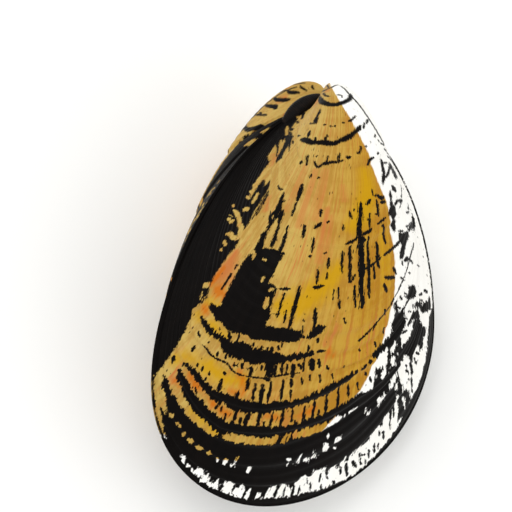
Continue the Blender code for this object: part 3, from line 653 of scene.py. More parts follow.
def arc(start, start_handle, end_handle, end):
    """Points on one cubic arc, from its start up to just before its end: its two ends and two
    handles, weighted by the cubic terms of the share along it."""
    t = (np.arange(POINTS_PER_ARC) / POINTS_PER_ARC)[:, None]
    near = (1 - t) ** 3 * start + 3 * (1 - t) ** 2 * t * start_handle
    far = 3 * (1 - t) * t**2 * end_handle + t**3 * end
    return near + far


def margin(ray):
    """The margin at each ray, in mm: four cubic arcs joined, and read at even length."""
    pole = np.zeros(2)
    across = np.array((1.0, 0.0))
    up = np.array((0.0, 1.0))
    leave = np.array((-math.cos(POSTERIOR_DORSAL_SLOPE), -math.sin(POSTERIOR_DORSAL_SLOPE)))
    arrive = np.array((math.cos(ANTERIOR_DORSAL_SLOPE), -math.sin(ANTERIOR_DORSAL_SLOPE)))
    line = np.vstack(
        (
            arc(pole, leave * POSTERIOR_HANDLES[0], POSTERIOR_END + up * POSTERIOR_HANDLES[1],
                POSTERIOR_END),
            arc(POSTERIOR_END, POSTERIOR_END - up * VENTRAL_HANDLES[0],
                VENTRAL_POINT - across * VENTRAL_HANDLES[1], VENTRAL_POINT),
            arc(VENTRAL_POINT, VENTRAL_POINT + across * VENTRAL_HANDLES[2],
                ANTERIOR_END - up * VENTRAL_HANDLES[3], ANTERIOR_END),
            arc(ANTERIOR_END, ANTERIOR_END + up * ANTERIOR_HANDLES[0],
                arrive * ANTERIOR_HANDLES[1], pole),
            pole,
        )
    )
    run = np.concatenate(([0.0], np.cumsum(np.linalg.norm(np.diff(line, axis=0), axis=1))))
    where = np.asarray(ray) * run[-1]
    return np.stack([np.interp(where, run, line[:, k]) for k in range(2)], axis=-1)


def grown(outline, growth):
    """Points of the growth spiral, in mm: the outline made smaller to its growth, and turned up
    about the tilted hinge axis by minus the logarithm of the growth over the spiral's rate."""
    turn = -np.log(growth) / SPIRAL_RATE
    along = np.array((math.cos(HINGE_AXIS_TILT), math.sin(HINGE_AXIS_TILT)))
    square = np.array((-along[1], along[0]))
    u = growth * (outline @ along)
    v = growth * (outline @ square)
    height = -v * np.sin(turn)
    flat = u[..., None] * along + (v * np.cos(turn))[..., None] * square
    return np.stack((flat[..., 0] - BACKWARD_LEAN * height, flat[..., 1], height), axis=-1)


def age_of(ray, growth):
    """The growth at which the line through each point crosses the middle ray. Between two growth
    rests it runs evenly, so every growth line follows the rests on both sides of it."""
    at = [np.interp(ray[0] * 100, *zip(*rest)) for rest in RESTS]
    middle = [np.interp(MIDDLE_RAY, *zip(*rest)) for rest in RESTS]
    known = np.vstack([np.zeros(ray.shape[1]), *at, np.ones(ray.shape[1])])
    value = np.array([0.0, *middle, 1.0])
    return np.stack([np.interp(growth[:, k], known[:, k], value) for k in range(ray.shape[1])], 1)


def relief(ray, growth, sizes):
    """How deep the outer face is set in, in mm: a step outside each growth rest that runs out
    towards the next one, and fine growth lines of uneven spacing."""
    age = age_of(ray, growth)
    depth = np.full(ray.shape, SKIN_INSET_MM)
    for rest in RESTS:
        past = age - np.interp(MIDDLE_RAY, *zip(*rest))
        step = np.clip(past / LEDGE_WIDTH, 0.0, 1.0)
        step = step * step * (3 - 2 * step)
        depth = depth + sizes.ledge / MM * step * np.exp(-np.clip(past, 0, 1) / LEDGE_REACH)
    uneven = sum(size * np.sin(ray * by_ray + age * by_age + start)
                 for size, by_ray, by_age, start in UNEVEN_WAVES)
    wave = 0.5 + 0.5 * np.sin(2 * math.pi * age * MM_PER_GROWTH * MM / sizes.spacing + uneven)
    deep = np.clip(growth * LINES_DEEPEN, LINES_AT_BEAK, 1.0)
    return depth + sizes.lines / MM * wave**LINE_SHARPNESS * deep


def eased(path):
    """A path with more corners: each stretch is a cubic that leaves its ends towards the corners
    beyond them, so that the path bends smoothly through every corner."""
    path = np.array(path, float)
    if len(path) == 2:
        return path
    before = np.vstack((path[0], path[:-2]))[:, None]
    after = np.vstack((path[2:], path[-1]))[:, None]
    start, end = path[:-1, None], path[1:, None]
    t = (np.arange(PIECES_PER_STRETCH) / PIECES_PER_STRETCH)[None, :, None]
    leave, arrive = (end - before) / 2, (after - start) / 2
    bend = (2 * t**3 - 3 * t**2 + 1) * start + (t**3 - 2 * t**2 + t) * leave
    bend = bend + (3 * t**2 - 2 * t**3) * end + (t**3 - t**2) * arrive
    return np.vstack((bend.reshape(-1, path.shape[1]), path[-1]))


def window(grid, path, reach):
    """The part of the grid within reach, in mm, of a path or the corners of an area."""
    ray, growth, _ = grid
    low_ray, high_ray = path[:, 0].min() / 100, path[:, 0].max() / 100
    low, high = path[:, 1].min(), path[:, 1].max()
    width = reach / (MARGIN_LENGTH_MM * max(low, LEAST_GROWTH))
    radius = np.linalg.norm(margin(np.clip(path[:, 0] / 100, 0.0, 1.0)), axis=1).min()
    height = reach / max(PATH_PER_RADIUS * radius, LEAST_MM_PER_GROWTH)
    first, last = np.searchsorted(ray[0], (low_ray - width, high_ray + width))
    top, bottom = np.searchsorted(-growth[:, 0], (-high - height, -low + height))
    return np.s_[top:bottom, first:last]


def traced(grid, path, part):
    """For points of the grid: the distance to the nearest straight stretch of a path, in mm, its
    sign by the side that the point lies on, and half the mark's width there less what the point
    lies past the mark's ends."""
    ray, growth, points = (values[part] for values in grid)
    centre = grown(margin(path[:, 0] / 100), path[:, 1])
    near = np.full(ray.shape, np.inf)
    side = np.ones(ray.shape)
    room = np.zeros(ray.shape)
    last = len(path) - 2
    for k in range(last + 1):
        along = centre[k + 1] - centre[k]
        stretch = max(np.linalg.norm(along), 1e-5)
        gap = points - centre[k]
        share = gap @ along / stretch**2
        past = np.maximum(-share * (k == 0), (share - 1.0) * (k == last)).clip(0.0) * stretch
        share = share.clip(0.0, 1.0)
        distance = np.linalg.norm(gap - share[..., None] * along, axis=-1)
        step = path[k + 1] - path[k]
        left = step[0] * (growth - path[k, 1]) < step[1] * (ray * 100 - path[k, 0])
        nearer = distance < near
        near = np.where(nearer, distance, near)
        side = np.where(nearer, np.where(left, -1.0, 1.0), side)
        room = np.where(nearer, path[k, 2] + step[2] * share - END_TAPER * past, room)
    return near, side, room


def draw(field, grid, path, reach=MARK_REACH_MM):
    """Adds one broad mark to a field of distances in mm, which are above 0 inside a mark."""
    path = eased(path)
    part = window(grid, path, reach)
    near, _, room = traced(grid, path, part)
    field[part] = np.maximum(field[part], room - near)


def fill(field, grid, corners):
    """Adds an area to a field: the distance to its outline, above 0 where a line from the point
    along the rays crosses the outline an odd number of times."""
    outline = np.array([(x, y, 0.0) for x, y in (*corners, corners[0])])
    part = window(grid, outline, MARK_REACH_MM)
    ray, growth = grid[0][part], grid[1][part]
    inside = np.zeros(ray.shape, bool)
    for (x0, y0, _), (x1, y1, _) in zip(outline, outline[1:]):
        if y0 != y1:
            crossing = x0 + (growth - y0) * (x1 - x0) / (y1 - y0)
            inside ^= ((y0 > growth) != (y1 > growth)) & (ray * 100 < crossing)
    near = np.minimum(traced(grid, outline, part)[0], MARK_REACH_MM)
    field[part] = np.maximum(field[part], np.where(inside, near, -near))


def blank(grid, reach=MARK_REACH_MM):
    """A field with no mark on it yet."""
    return np.full(grid[0].shape, -float(reach))


def short(mark):
    """A path from a short mark: full in its middle and finer at both ends."""
    ray0, growth0, ray1, growth1, half = mark
    middle = ((ray0 + ray1) / 2, (growth0 + growth1) / 2, half)
    first, last = (half * share for share in SHORT_MARK_ENDS)
    return ((ray0, growth0, first), middle, (ray1, growth1, last))


def ink(grid, paths, count):
    """Thin marks as layers of two numbers for each point: its distance from the mark's middle line
    with the sign of its side, and half the mark's width. The first runs evenly through 0 from
    point to point, so a mark keeps its width where it is narrower than the grid. Marks that come
    close to each other are in different layers."""
    shape = grid[0].shape
    layers = [np.stack((np.full(shape, MARK_REACH_MM), np.full(shape, NO_ROOM)), -1)
              for _ in range(count)]
    for path in paths:
        path = eased(path)
        reach = path[:, 2].max() + GRID_STEP_MM
        part = window(grid, path, reach)
        near, side, room = traced(grid, path, part)
        close = near < reach
        taken = [np.sum(layer[part][close, 1] > NO_ROOM) for layer in layers]
        layer = layers[int(np.argmin(taken))][part]
        better = close & (room - near > layer[..., 1] - np.abs(layer[..., 0]))
        layer[better] = np.stack((side * near, room), -1)[better]
    return layers


def pigment_and_shade(grid, side):
    """The fields of one valve, by attribute name. The left valve has a flank and lines of its own,
    and mirrors the right one's other marks and zones. Each flank is painted shade in the near-black
    of the marks, and shares its field with the other dark areas."""
    solid_marks_and_shade, ragged, holes = blank(grid), blank(grid), blank(grid)
    for area in (PAINTED_SHADE_FLANK if side > 0 else LEFT_PAINTED_SHADE_FLANK, NECK, BLOTCH, STEM, BRANCH, *PATCHES):
        fill(solid_marks_and_shade, grid, area)
    for area in (EDGE_ZONE, MARGIN_ZONE):
        fill(ragged, grid, area)
    for area in HOLES:
        fill(holes, grid, area)
    ragged = np.minimum(ragged, -holes)
    for path in BANDS:
        draw(ragged, grid, [(at, growth, half * BAND_SWELL) for at, growth, half in path])
    lines = LINES if side > 0 else LEFT_LINES
    marks = ink(grid, [LIP_SHADE_LINE, *lines, *map(short, DASHES)], INK_LAYERS)
    slits = ink(grid, [*SLIT_PATHS, *map(short, SLITS)], SLIT_LAYERS)
    fields = {"solid_marks_and_shade": solid_marks_and_shade, "ragged": ragged, "ivory": blank(grid)}
    fill(fields["ivory"], grid, IVORY_ZONE)
    for name, paths in (("pink", PINK_RAYS), ("gold", GOLD_ZONES), ("rust", RUST_ZONES)):
        fields[name] = blank(grid, ZONE_REACH_MM)
        for path in paths:
            draw(fields[name], grid, path, ZONE_REACH_MM + max(p[2] for p in path))
    for name, layers in (("ink", marks), ("slit", slits)):
        for k, layer in enumerate(layers):
            fields[name + str(k + 1)] = layer
    return fields


def placed(points, side):
    """Points of the right valve's frame, in mm, as points of the lying shell, in metres. They are
    turned and raised to rest, and a side of -1 mirrors them to the left valve first."""
    turned = (points * (1.0, 1.0, side)) @ REST_TURN.T + REST_SHIFT
    return turned * MM


def woven(rows):
    """The four corners of every quad between neighbouring rows and columns of a grid."""
    corners = (rows[:-1, :-1], rows[:-1, 1:], rows[1:, 1:], rows[1:, :-1])
    return np.stack(corners, axis=2).reshape(-1, 4, *rows.shape[2:])


def wedges(rows):
    """The three corners of every triangle at the hinge pole, which is both the first and the last
    column of a valve's grid."""
    left = np.stack((rows[:-1, 0], rows[:-1, 1], rows[1:, 1]), axis=1)
    right = np.stack((rows[:-1, -1], rows[1:, -2], rows[:-1, -2]), axis=1)
    return np.concatenate((left, right))


def fan(ring, point):
    """Triangles from each stretch of a closed ring to one point that fills it in."""
    return np.column_stack((ring[:-1], ring[1:], np.full(len(ring) - 1, point)))


def closed(first, rows, count):
    """Vertex numbers of rows of closed rings, from a first number, each ending where it began."""
    rings = first + np.arange(rows * count).reshape(rows, count)
    return np.hstack((rings, rings[:, :1]))


def clam_mesh(name, verts, quads, triangles, corner_uv=None):
    """A smooth mesh object at the origin, with a UV map if there is one row for each corner."""
    mesh = bpy.data.meshes.new(name)
    mesh.from_pydata(verts.tolist(), [], quads.tolist() + triangles.tolist())
    mesh.validate()
    if corner_uv is not None:
        layer = mesh.uv_layers.new(name="ray_and_growth")
        layer.data.foreach_set("uv", corner_uv.astype(np.float32).ravel())
    mesh.shade_smooth()
    piece = bpy.data.objects.new(name, mesh)
    bpy.context.scene.collection.objects.link(piece)
    return piece


def valve_grid(sizes):
    """Rays, growths and points of a valve's outer face, in mm, and the same points with the relief
    pressed in along the normal. The relief dies out near the hinge pole, where all lines meet."""
    ray, growth = np.meshgrid(
        np.linspace(0.0, 1.0, RAYS + 1),
        np.linspace(1.0, math.exp(-SPIRAL_RATE * BEAK_TURN), OUTER_ROWS),
    )
    points = grown(margin(ray), growth)
    normal = np.cross(np.gradient(points, axis=0), np.gradient(points, axis=1))
    normal /= np.maximum(np.linalg.norm(normal, axis=-1, keepdims=True), 1e-9)
    normal *= -np.sign(normal[OUTER_ROWS // 2, RAYS // 2, 2])
    fade = np.clip(np.linalg.norm(points, axis=-1) / RELIEF_FADE_MM, 0.0, 1.0)
    depth = relief(ray, growth, sizes) * fade
    return (ray, growth, points), points + normal * depth[..., None]


def cavity_rings():
    """The inside of a valve, in mm: the margin drawn in towards one centre, and more so the
    further it has turned up along the growth spiral."""
    turn = np.linspace(0.0, CAVITY_TURN, INNER_ROWS + 1)[:, None]
    keep = 1.0 - WALL_SHARE_AT_MARGIN - WALL_SHARE_PER_RADIAN * turn[..., None]
    line = margin(np.linspace(0.0, 1.0, RAYS + 1))[:-1]
    rings = grown(CAVITY_CENTRE + (line - CAVITY_CENTRE) * keep, np.exp(-SPIRAL_RATE * turn))
    return rings + (0.0, 0.0, EDGE_LIFT_MM)


def valve(name, side, sizes):
    """One closed valve. Its outer rows run from the flat edge up to the beak and share the vertex
    at the hinge pole, its inner rows run from the edge into the cavity, and a fan ends each. The
    left valve is a mirror image, which turns its faces inwards, so they are flipped."""
    grid, outer = valve_grid(sizes)
    ray, growth, _ = grid
    outer[..., 2] = np.maximum(outer[..., 2], 0.0) + sizes.lip / MM
    rim = grown(margin(ray[:1]) * (1 - EDGE_INSET_SHARE), 1.0) + (0.0, 0.0, EDGE_LIFT_MM)
    rows = np.concatenate((rim, outer))
    inner = cavity_rings()
    verts = np.vstack((rim[0, 0], rows[:, 1:-1].reshape(-1, 3), inner.reshape(-1, 3),
                       outer[-1, 1:-1].mean(0), inner[-1].mean(0)))
    number = np.zeros(rows.shape[:2], int)
    number[:, 1:-1] = 1 + np.arange(number[:, 1:-1].size).reshape(len(rows), -1)
    inside = np.vstack((number[:1], closed(number.max() + 1, INNER_ROWS + 1, RAYS)))
    beak, top = len(verts) - 2, len(verts) - 1
    quads = np.concatenate((woven(number[:, 1:-1]), woven(inside)[:, [0, 3, 2, 1]]))
    triangles = np.concatenate((wedges(number), fan(number[-1], beak), fan(inside[-1, ::-1], top)))
    uv = np.stack((np.vstack((ray[:1], ray)), np.vstack((growth[:1], growth))), axis=-1)
    corner_uv = np.zeros((quads.size + triangles.size, 2))
    shown, hinge = woven(uv[:, 1:-1]).reshape(-1, 2), wedges(uv).reshape(-1, 2)
    corner_uv[: len(shown)] = shown
    corner_uv[quads.size : quads.size + len(hinge)] = hinge
    world = placed(verts, side)
    world[:, 2] = np.maximum(world[:, 2], 0.0)
    piece = clam_mesh(name, world, quads, triangles, corner_uv)
    if side < 0:
        piece.data.flip_normals()
    for field_name, field in pigment_and_shade(grid, side).items():
        store(piece.data, field_name, field)
    store(piece.data, "age", age_of(ray, growth))
    return piece


def store(mesh, name, field):
    """Stores a field of the outer face as an attribute of a valve: for the pole, the edge and the
    grid without its two seam columns. The inside takes the mean of the last growth line."""
    flat = field.reshape(*field.shape[:2], -1)
    width = flat.shape[2]
    rows = flat[:, 1:-1]
    values = np.zeros((len(mesh.vertices), 3 if width > 1 else 1))
    outer = np.vstack((flat[OUTER_ROWS // 2, :1], rows[0], rows.reshape(-1, width)))
    values[: len(outer), :width] = outer
    values[len(outer):, :width] = rows[-1].mean(0)
    kind, part = ("FLOAT_VECTOR", "vector") if width > 1 else ("FLOAT", "value")
    attribute = mesh.attributes.new(name, kind, "POINT")
    attribute.data.foreach_set(part, values.astype(np.float32).ravel())


def ligament(name):
    """A spindle along its own axis: its round section is scaled by the square root of one minus
    the square of the place along it, and pressed in a little at each transverse stria. Its rows
    run backwards along the axis, so its faces come out pointing inwards and are flipped."""
    along, around = np.meshgrid(
        np.sin(np.linspace(-0.5, 0.5, LIGAMENT_ROWS) * math.pi),
        np.linspace(0.0, 2 * math.pi, LIGAMENT_SIDES, endpoint=False),
        indexing="ij",
    )
    thick = np.sqrt(np.maximum(1.0 - along**2, 0.0)) * (1.0 - LIGAMENT_BLUNT_ENDS * along**2)
    stria = 0.5 + 0.5 * np.cos(along * math.pi * LIGAMENT_STRIAE)
    thick = thick * (1.0 - LIGAMENT_STRIA_DEPTH * stria)
    half_length, half_height, half_width = LIGAMENT_HALF
    a = along * half_length
    b = np.cos(around) * thick * half_height
    c = np.sin(around) * thick * half_width
    cos, sin = math.cos(LIGAMENT_SLOPE), math.sin(LIGAMENT_SLOPE)
    points = np.stack((-a * cos - b * sin, -a * sin + b * cos, c), axis=-1) + LIGAMENT_CENTRE
    verts = np.vstack((points[1:-1].reshape(-1, 3), points[0, 0], points[-1, 0]))
    rings = closed(0, LIGAMENT_ROWS - 2, LIGAMENT_SIDES)
    ends = np.concatenate((fan(rings[0, ::-1], len(verts) - 2), fan(rings[-1], len(verts) - 1)))
    piece = clam_mesh(name, placed(verts, 1), woven(rings), ends)
    piece.data.flip_normals()
    return piece


def add(tree, kind, inputs, output=0, **settings):
    """Adds one node with its settings, links or sets its inputs, by name or number or in order,
    and gives one of its outputs."""
    node = tree.nodes.new("ShaderNode" + kind)
    for name, value in settings.items():
        setattr(node, name, value)
    for key, value in (enumerate(inputs) if isinstance(inputs, tuple) else inputs.items()):
        if isinstance(value, bpy.types.NodeSocket):
            tree.links.new(value, node.inputs[key])
        else:
            node.inputs[key].default_value = value
    return node.outputs[output]


def shell_material(colours):
    """Aragonite, grown in fine lines and polished by sand: a satin body with a soft gloss, streaked
    along the rays as it grew, with dark marks of its own that lie within the shell and so have
    the same gloss. Their near-black also paints shade on the flanks, along the lip and along the
    beak's edge."""
    material = bpy.data.materials.new("aragonite shell")
    material.use_nodes = True
    tree = material.node_tree
    shader = tree.nodes["Principled BSDF"]
    uv = add(tree, "TexCoord", {}, "UV")
    position = add(tree, "TexCoord", {}, "Object")

    def cells_of(size):
        """How many cells of a pattern lie round the margin and from the beak out to it."""
        width, out = size
        return MARGIN_LENGTH_MM / width, MM_PER_GROWTH / out, 0.0

    def on_rays(size, detail=2.0, roughness=0.5):
        """Noise on the ray and the growth, in cells of this width and length."""
        scaled = add(tree, "VectorMath", (uv, cells_of(size)), operation="MULTIPLY")
        return add(tree, "TexNoise", {"Vector": scaled, "Scale": 1.0, "Detail": detail,
                                      "Roughness": roughness}, noise_dimensions="2D")

    def sharp(distance, softness):
        """1 inside a mark and 0 outside it, from a distance in mm, over this softness in mm."""
        return add(tree, "Math", (distance, 0.5 / softness, 0.5), operation="MULTIPLY_ADD",
                   use_clamp=True)

    # Broken edges of the marks: combs along the rays, and a fine grain.
    comb = on_rays(COMB_MM, 2.0, 0.6)
    comb = add(tree, "Math", (comb, COMB_MIDDLE), operation="SUBTRACT")
    grain = on_rays(GRAIN_MM, 2.0, 0.6)
    grain = add(tree, "Math", (grain, GRAIN_MIDDLE), operation="SUBTRACT")
    ragged = add(tree, "Attribute", {}, "Fac", attribute_name="ragged")
    ragged = add(tree, "Math", (comb, COMB_DEPTH_MM, ragged), operation="MULTIPLY_ADD")
    ragged = add(tree, "Math", (grain, GRAIN_DEPTH_MM, ragged), operation="MULTIPLY_ADD")
    solid_marks_and_shade = add(tree, "Attribute", {}, "Fac", attribute_name="solid_marks_and_shade")
    solid_marks_and_shade = add(tree, "Math", (grain, GRAIN_DEPTH_MM, solid_marks_and_shade), operation="MULTIPLY_ADD")
    marks = add(tree, "Math", (ragged, solid_marks_and_shade), operation="MAXIMUM")

    def thin(name):
        """How far within the thin marks of a layer a point is, in mm."""
        pair = add(tree, "Attribute", {}, "Vector", attribute_name=name)
        across = add(tree, "SeparateXYZ", (pair,), "X")
        across = add(tree, "Math", (across,), operation="ABSOLUTE")
        room = add(tree, "SeparateXYZ", (pair,), "Y")
        edge = add(tree, "Math", (grain, THIN_GRAIN_MM, room), operation="MULTIPLY_ADD")
        edge = add(tree, "Math", (comb, THIN_COMB_MM, edge), operation="MULTIPLY_ADD")
        return add(tree, "Math", (edge, across), operation="SUBTRACT")

    for k in range(INK_LAYERS):
        marks = add(tree, "Math", (marks, thin("ink" + str(k + 1))), operation="MAXIMUM")
    for k in range(SLIT_LAYERS):
        beyond = add(tree, "Math", (thin("slit" + str(k + 1)), -1.0), operation="MULTIPLY")
        marks = add(tree, "Math", (marks, beyond), operation="MINIMUM")

    # Specks: cells along the rays, of which the few with the highest number have a speck.
    ivory = add(tree, "Attribute", {}, "Fac", attribute_name="ivory")
    spread = add(tree, "VectorMath", (uv, cells_of(SPECK_MM)), operation="MULTIPLY")
    cells, gap = (add(tree, "TexVoronoi", {"Vector": spread, "Scale": 1.0}, output,
                      voronoi_dimensions="2D") for output in ("Color", "Distance"))
    wanted = add(tree, "SeparateColor", (cells,))
    for pattern, share in ((on_rays(SPECK_PATCH_MM), SPECK_PATCH_SHARE),
                           (sharp(ivory, IVORY_SPECK_SOFTNESS_MM), IVORY_SPECKS)):
        wanted = add(tree, "Math", (pattern, share, wanted), operation="MULTIPLY_ADD")
    speck = add(tree, "Math", (wanted, SPECK_SHARE), operation="SUBTRACT")
    speck = add(tree, "Math", (speck, SPECK_SIZE), operation="MULTIPLY")
    speck = add(tree, "Math", (speck, gap), operation="SUBTRACT")
    dark = add(tree, "Math", (sharp(marks, EDGE_SOFTNESS_MM), sharp(speck, EDGE_SOFTNESS_MM)),
               operation="MAXIMUM")

    # The body: streaks along the rays and bands of growth, tan by the hinge and ochre in front.
    streak = on_rays(STREAK_MM, 3.0, 0.55)
    broad = on_rays(BROAD_MM)
    age = add(tree, "Attribute", {}, "Fac", attribute_name="age")
    bands = add(tree, "TexNoise", {"W": age, "Scale": MM_PER_GROWTH / GROWTH_BAND_MM,
                                   "Detail": 3.0}, noise_dimensions="1D")
    tone = TONE_START
    for pattern, share in ((streak, STREAK_SHARE), (bands, BAND_SHARE), (broad, BROAD_SHARE),
                           (on_rays(FLECK_MM, 3.0), FLECK_SHARE)):
        tone = add(tree, "Math", (pattern, share, tone), operation="MULTIPLY_ADD")
    tone = add(tree, "Math", (tone, *TONE_RISE), operation="MULTIPLY_ADD", use_clamp=True)
    back = add(tree, "Mix", {0: tone, 6: colours.tan, 7: colours.pale}, 2, data_type="RGBA")
    front = add(tree, "Mix", {0: tone, 6: colours.ochre, 7: colours.amber}, 2, data_type="RGBA")
    round_to = add(tree, "SeparateXYZ", (uv,), "X")
    forward = add(tree, "MapRange", {0: round_to, 1: FRONT_FROM_RAY, 2: FRONT_FULL_RAY})
    body = add(tree, "Mix", {0: forward, 6: back, 7: front}, 2, data_type="RGBA")

    # A flush of salmon in the finest streaks, and zones of gold, salmon and rust.
    flush = on_rays(FLUSH_MM, 3.0, 0.6)
    flush = add(tree, "Math", (flush, *FLUSH_RISE), operation="MULTIPLY_ADD", use_clamp=True)
    patchy = add(tree, "Math", (broad, *PATCHY_RISE), operation="MULTIPLY_ADD", use_clamp=True)
    flush = add(tree, "Math", (flush, patchy), operation="MULTIPLY")
    body = add(tree, "Mix", {0: flush, 6: body, 7: colours.pink}, 2, data_type="RGBA")
    broken = add(tree, "Math", (streak, *BROKEN_RISE), operation="MULTIPLY_ADD")
    for name, softness in ZONE_SOFTNESS_MM.items():
        zone = add(tree, "Attribute", {}, "Fac", attribute_name=name)
        zone = add(tree, "Math", (zone, broken), operation="ADD")
        zone = add(tree, "Math", (sharp(zone, softness), ZONE_STRENGTH), operation="MULTIPLY")
        body = add(tree, "Mix", {0: zone, 6: body, 7: getattr(colours, name)}, 2, data_type="RGBA")

    # The ivory edge, worn back in combs, and the pigment over all, whose near-black also paints the
    # shade of the flanks, the lip and the beak's edge.
    worn = add(tree, "Math", (comb, IVORY_COMB_MM, ivory), operation="MULTIPLY_ADD")
    chalk = add(tree, "Mix", {0: on_rays(CHALK_MM, 3.0), 6: colours.chalk, 7: colours.ivory}, 2,
                data_type="RGBA")
    body = add(tree, "Mix", {0: sharp(worn, IVORY_SOFTNESS_MM), 6: body, 7: chalk}, 2,
               data_type="RGBA")
    tint = add(tree, "Mix", {0: on_rays(UMBER_MM), 6: colours.pigment_and_shade, 7: colours.umber}, 2,
               data_type="RGBA")
    body = add(tree, "Mix", {0: dark, 6: body, 7: tint}, 2, data_type="RGBA")
    tree.links.new(body, shader.inputs["Base Color"])

    # Gloss varies a little, and the finest growth lines show as bump only.
    least, most = SHELL_ROUGHNESS
    mottle = add(tree, "TexNoise", {"Vector": position, "Scale": 1 / (MOTTLE_MM * MM), "Detail": 3.0})
    rough = add(tree, "MapRange", {0: mottle, 3: least, 4: most})
    tree.links.new(rough, shader.inputs["Roughness"])
    shader.inputs["Specular IOR Level"].default_value = SHELL_SPECULAR
    shader.inputs["IOR"].default_value = SHELL_IOR
    fine = add(tree, "TexNoise", {"W": age, "Scale": MM_PER_GROWTH / FINE_LINE_MM, "Detail": 2.0},
               noise_dimensions="1D")
    height = add(tree, "Math", (on_rays(BUMP_MM), RAY_BUMP_SHARE, fine), operation="MULTIPLY_ADD")
    bump = add(tree, "Bump", {"Height": height, "Strength": SHELL_BUMP_STRENGTH,
                              "Distance": SHELL_BUMP_MM * MM})
    tree.links.new(bump, shader.inputs["Normal"])
    return material


def ligament_material(colours):
    """Horny protein laid down in cross layers: near black, with paler fibres along it and a waxy
    gloss that breaks at every layer."""
    material = bpy.data.materials.new("horny ligament")
    material.use_nodes = True
    tree = material.node_tree
    shader = tree.nodes["Principled BSDF"]
    least, most = LIGAMENT_ROUGHNESS
    position = add(tree, "TexCoord", {}, "Object")
    grain = add(tree, "TexNoise", {"Vector": position, "Scale": 1 / (FIBRE_MM * MM), "Detail": 4.0})
    share = add(tree, "MapRange", {0: grain, 1: FIBRE_RANGE[0], 2: FIBRE_RANGE[1]})
    tone = add(tree, "Mix", {0: share, 6: colours.horn, 7: colours.fibre}, 2, data_type="RGBA")
    tree.links.new(tone, shader.inputs["Base Color"])
    rough = add(tree, "MapRange", {0: grain, 3: least, 4: most})
    tree.links.new(rough, shader.inputs["Roughness"])
    bump = add(tree, "Bump", {"Height": grain, "Strength": LIGAMENT_BUMP_STRENGTH,
                              "Distance": LIGAMENT_BUMP_MM * MM})
    tree.links.new(bump, shader.inputs["Normal"])
    shader.inputs["Specular IOR Level"].default_value = LIGAMENT_SPECULAR
    shader.inputs["IOR"].default_value = LIGAMENT_IOR
    return material


def picture_camera(distance):
    """A camera that looks along the picture's own direction, given in the right valve's frame, and
    is aimed so that the hinge pole falls on its pixel and the shell has its height in pixels."""
    back, over = math.sin(CAMERA_TO_POSTERIOR_END), math.cos(CAMERA_TO_POSTERIOR_END)
    up, level = math.sin(CAMERA_TO_HINGE_SIDE), math.cos(CAMERA_TO_HINGE_SIDE)
    toward = np.array((-back * level, up, over * level))
    right = np.array((over, 0.0, back))
    above = np.cross(toward, right)
    x, y = (pixel - FRAME_PIXELS / 2 for pixel in HINGE_PIXEL)
    target = (above * y - right * x) * MM_PER_PIXEL + toward * AIM_ABOVE_PLANE_MM
    toward, right, above = REST_TURN @ toward, REST_TURN @ right, REST_TURN @ above
    place = (REST_TURN @ target + REST_SHIFT) * MM + toward * distance
    camera = bpy.data.objects.new("camera", bpy.data.cameras.new("camera"))
    camera.data.lens = SENSOR_MM * distance / (FRAME_PIXELS * MM_PER_PIXEL * MM)
    camera.data.clip_end = FARTHEST_SEEN_M
    basis = Matrix((right, above, toward)).transposed().to_4x4()
    camera.matrix_world = Matrix.Translation(Vector(place)) @ basis
    return camera


def paper_floor(tint):
    """A square of matt paper under the shell: soft and even, with no gloss."""
    mesh = bpy.data.meshes.new("floor")
    corners = [(x * FLOOR_HALF_M, y * FLOOR_HALF_M, 0.0)
               for x, y in ((-1, -1), (1, -1), (1, 1), (-1, 1))]
    mesh.from_pydata(corners, [], [(0, 1, 2, 3)])
    material = bpy.data.materials.new("matt paper")
    material.use_nodes = True
    shader = material.node_tree.nodes["Principled BSDF"]
    shader.inputs["Base Color"].default_value = tint
    shader.inputs["Roughness"].default_value = FLOOR_ROUGHNESS
    mesh.materials.append(material)
    return bpy.data.objects.new("floor", mesh)


def lamp(name, place, power, size):
    """A square lamp that shines at the shell."""
    light = bpy.data.lights.new(name, "AREA")
    light.energy = power
    light.size = size
    stand = bpy.data.objects.new(name, light)
    stand.location = place
    stand.rotation_euler = (-Vector(place)).to_track_quat("-Z", "Y").to_euler()
    return stand


class CLAM_OT_valves(bpy.types.Operator):
    """Build both valves with their relief and pigment"""

    bl_idname = "clam.valves"
    bl_label = "Valves"

    def execute(self, context):
        sizes = context.scene.clam_relief
        material = shell_material(context.scene.clam_colours)
        for name, side in (("right_valve", 1), ("left_valve", -1)):
            piece = valve(name + "_shell", side, sizes)
            piece.data.materials.append(material)
            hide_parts(name)
            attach(piece, "root")
        return {"FINISHED"}


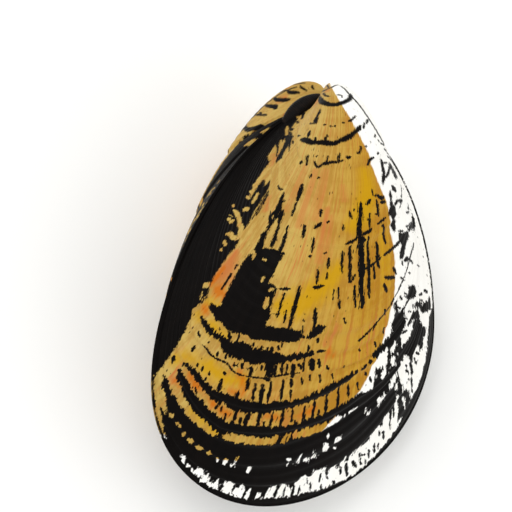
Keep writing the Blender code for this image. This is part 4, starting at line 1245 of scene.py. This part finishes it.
class CLAM_OT_ligament(bpy.types.Operator):
    """Build the striated ligament behind the beaks"""

    bl_idname = "clam.ligament"
    bl_label = "Ligament"

    def execute(self, context):
        piece = ligament("striated_ligament")
        piece.data.materials.append(ligament_material(context.scene.clam_colours))
        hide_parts("ligament")
        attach(piece, "root")
        return {"FINISHED"}


class CLAM_OT_stage(bpy.types.Operator):
    """Set out the pale floor, the soft light and the camera"""

    bl_idname = "clam.stage"
    bl_label = "Stage"

    def execute(self, context):
        scene = context.scene
        camera = picture_camera(scene.clam_stage.distance)
        floor = paper_floor(scene.clam_stage.floor)
        for thing in (camera, floor, *(lamp(name, *set_up) for name, set_up in LAMPS.items())):
            scene.collection.objects.link(thing)
        scene.camera = camera
        scene.world = scene.world or bpy.data.worlds.new("studio")
        scene.world.use_nodes = True
        sky = scene.world.node_tree.nodes["Background"]
        sky.inputs["Color"].default_value = (1.0, 1.0, 1.0, 1.0)
        sky.inputs["Strength"].default_value = SKY_STRENGTH
        scene.view_settings.view_transform = "Standard"
        return {"FINISHED"}


class CLAM_PT_panel(bpy.types.Panel):
    """Lists the steps that build the clam."""

    bl_idname = "CLAM_PT_panel"
    bl_label = "Clam Shell"
    bl_space_type = "VIEW_3D"
    bl_region_type = "UI"
    bl_category = "Clam"

    def draw(self, context):
        for operator in STEPS:
            self.layout.operator(operator.bl_idname)


GROUPS = {"clam_relief": ClamRelief, "clam_colours": ClamColours, "clam_stage": ClamStage}
STEPS = (CLAM_OT_valves, CLAM_OT_ligament, CLAM_OT_stage)


def register():
    """Registers every class, and puts the sizes and colours on the scene."""
    for group in (*GROUPS.values(), *STEPS, CLAM_PT_panel):
        bpy.utils.register_class(group)
    for name, group in GROUPS.items():
        setattr(bpy.types.Scene, name, bpy.props.PointerProperty(type=group))


def unregister():
    """Takes off what register put on, in the opposite order."""
    for name in GROUPS:
        delattr(bpy.types.Scene, name)
    for group in (CLAM_PT_panel, *reversed(STEPS), *reversed(GROUPS.values())):
        bpy.utils.unregister_class(group)


def main():
    """Registers the classes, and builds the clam."""
    register()
    bpy.ops.clam.valves()
    bpy.ops.clam.ligament()
    bpy.ops.clam.stage()


if __name__ == "__main__":
    main()
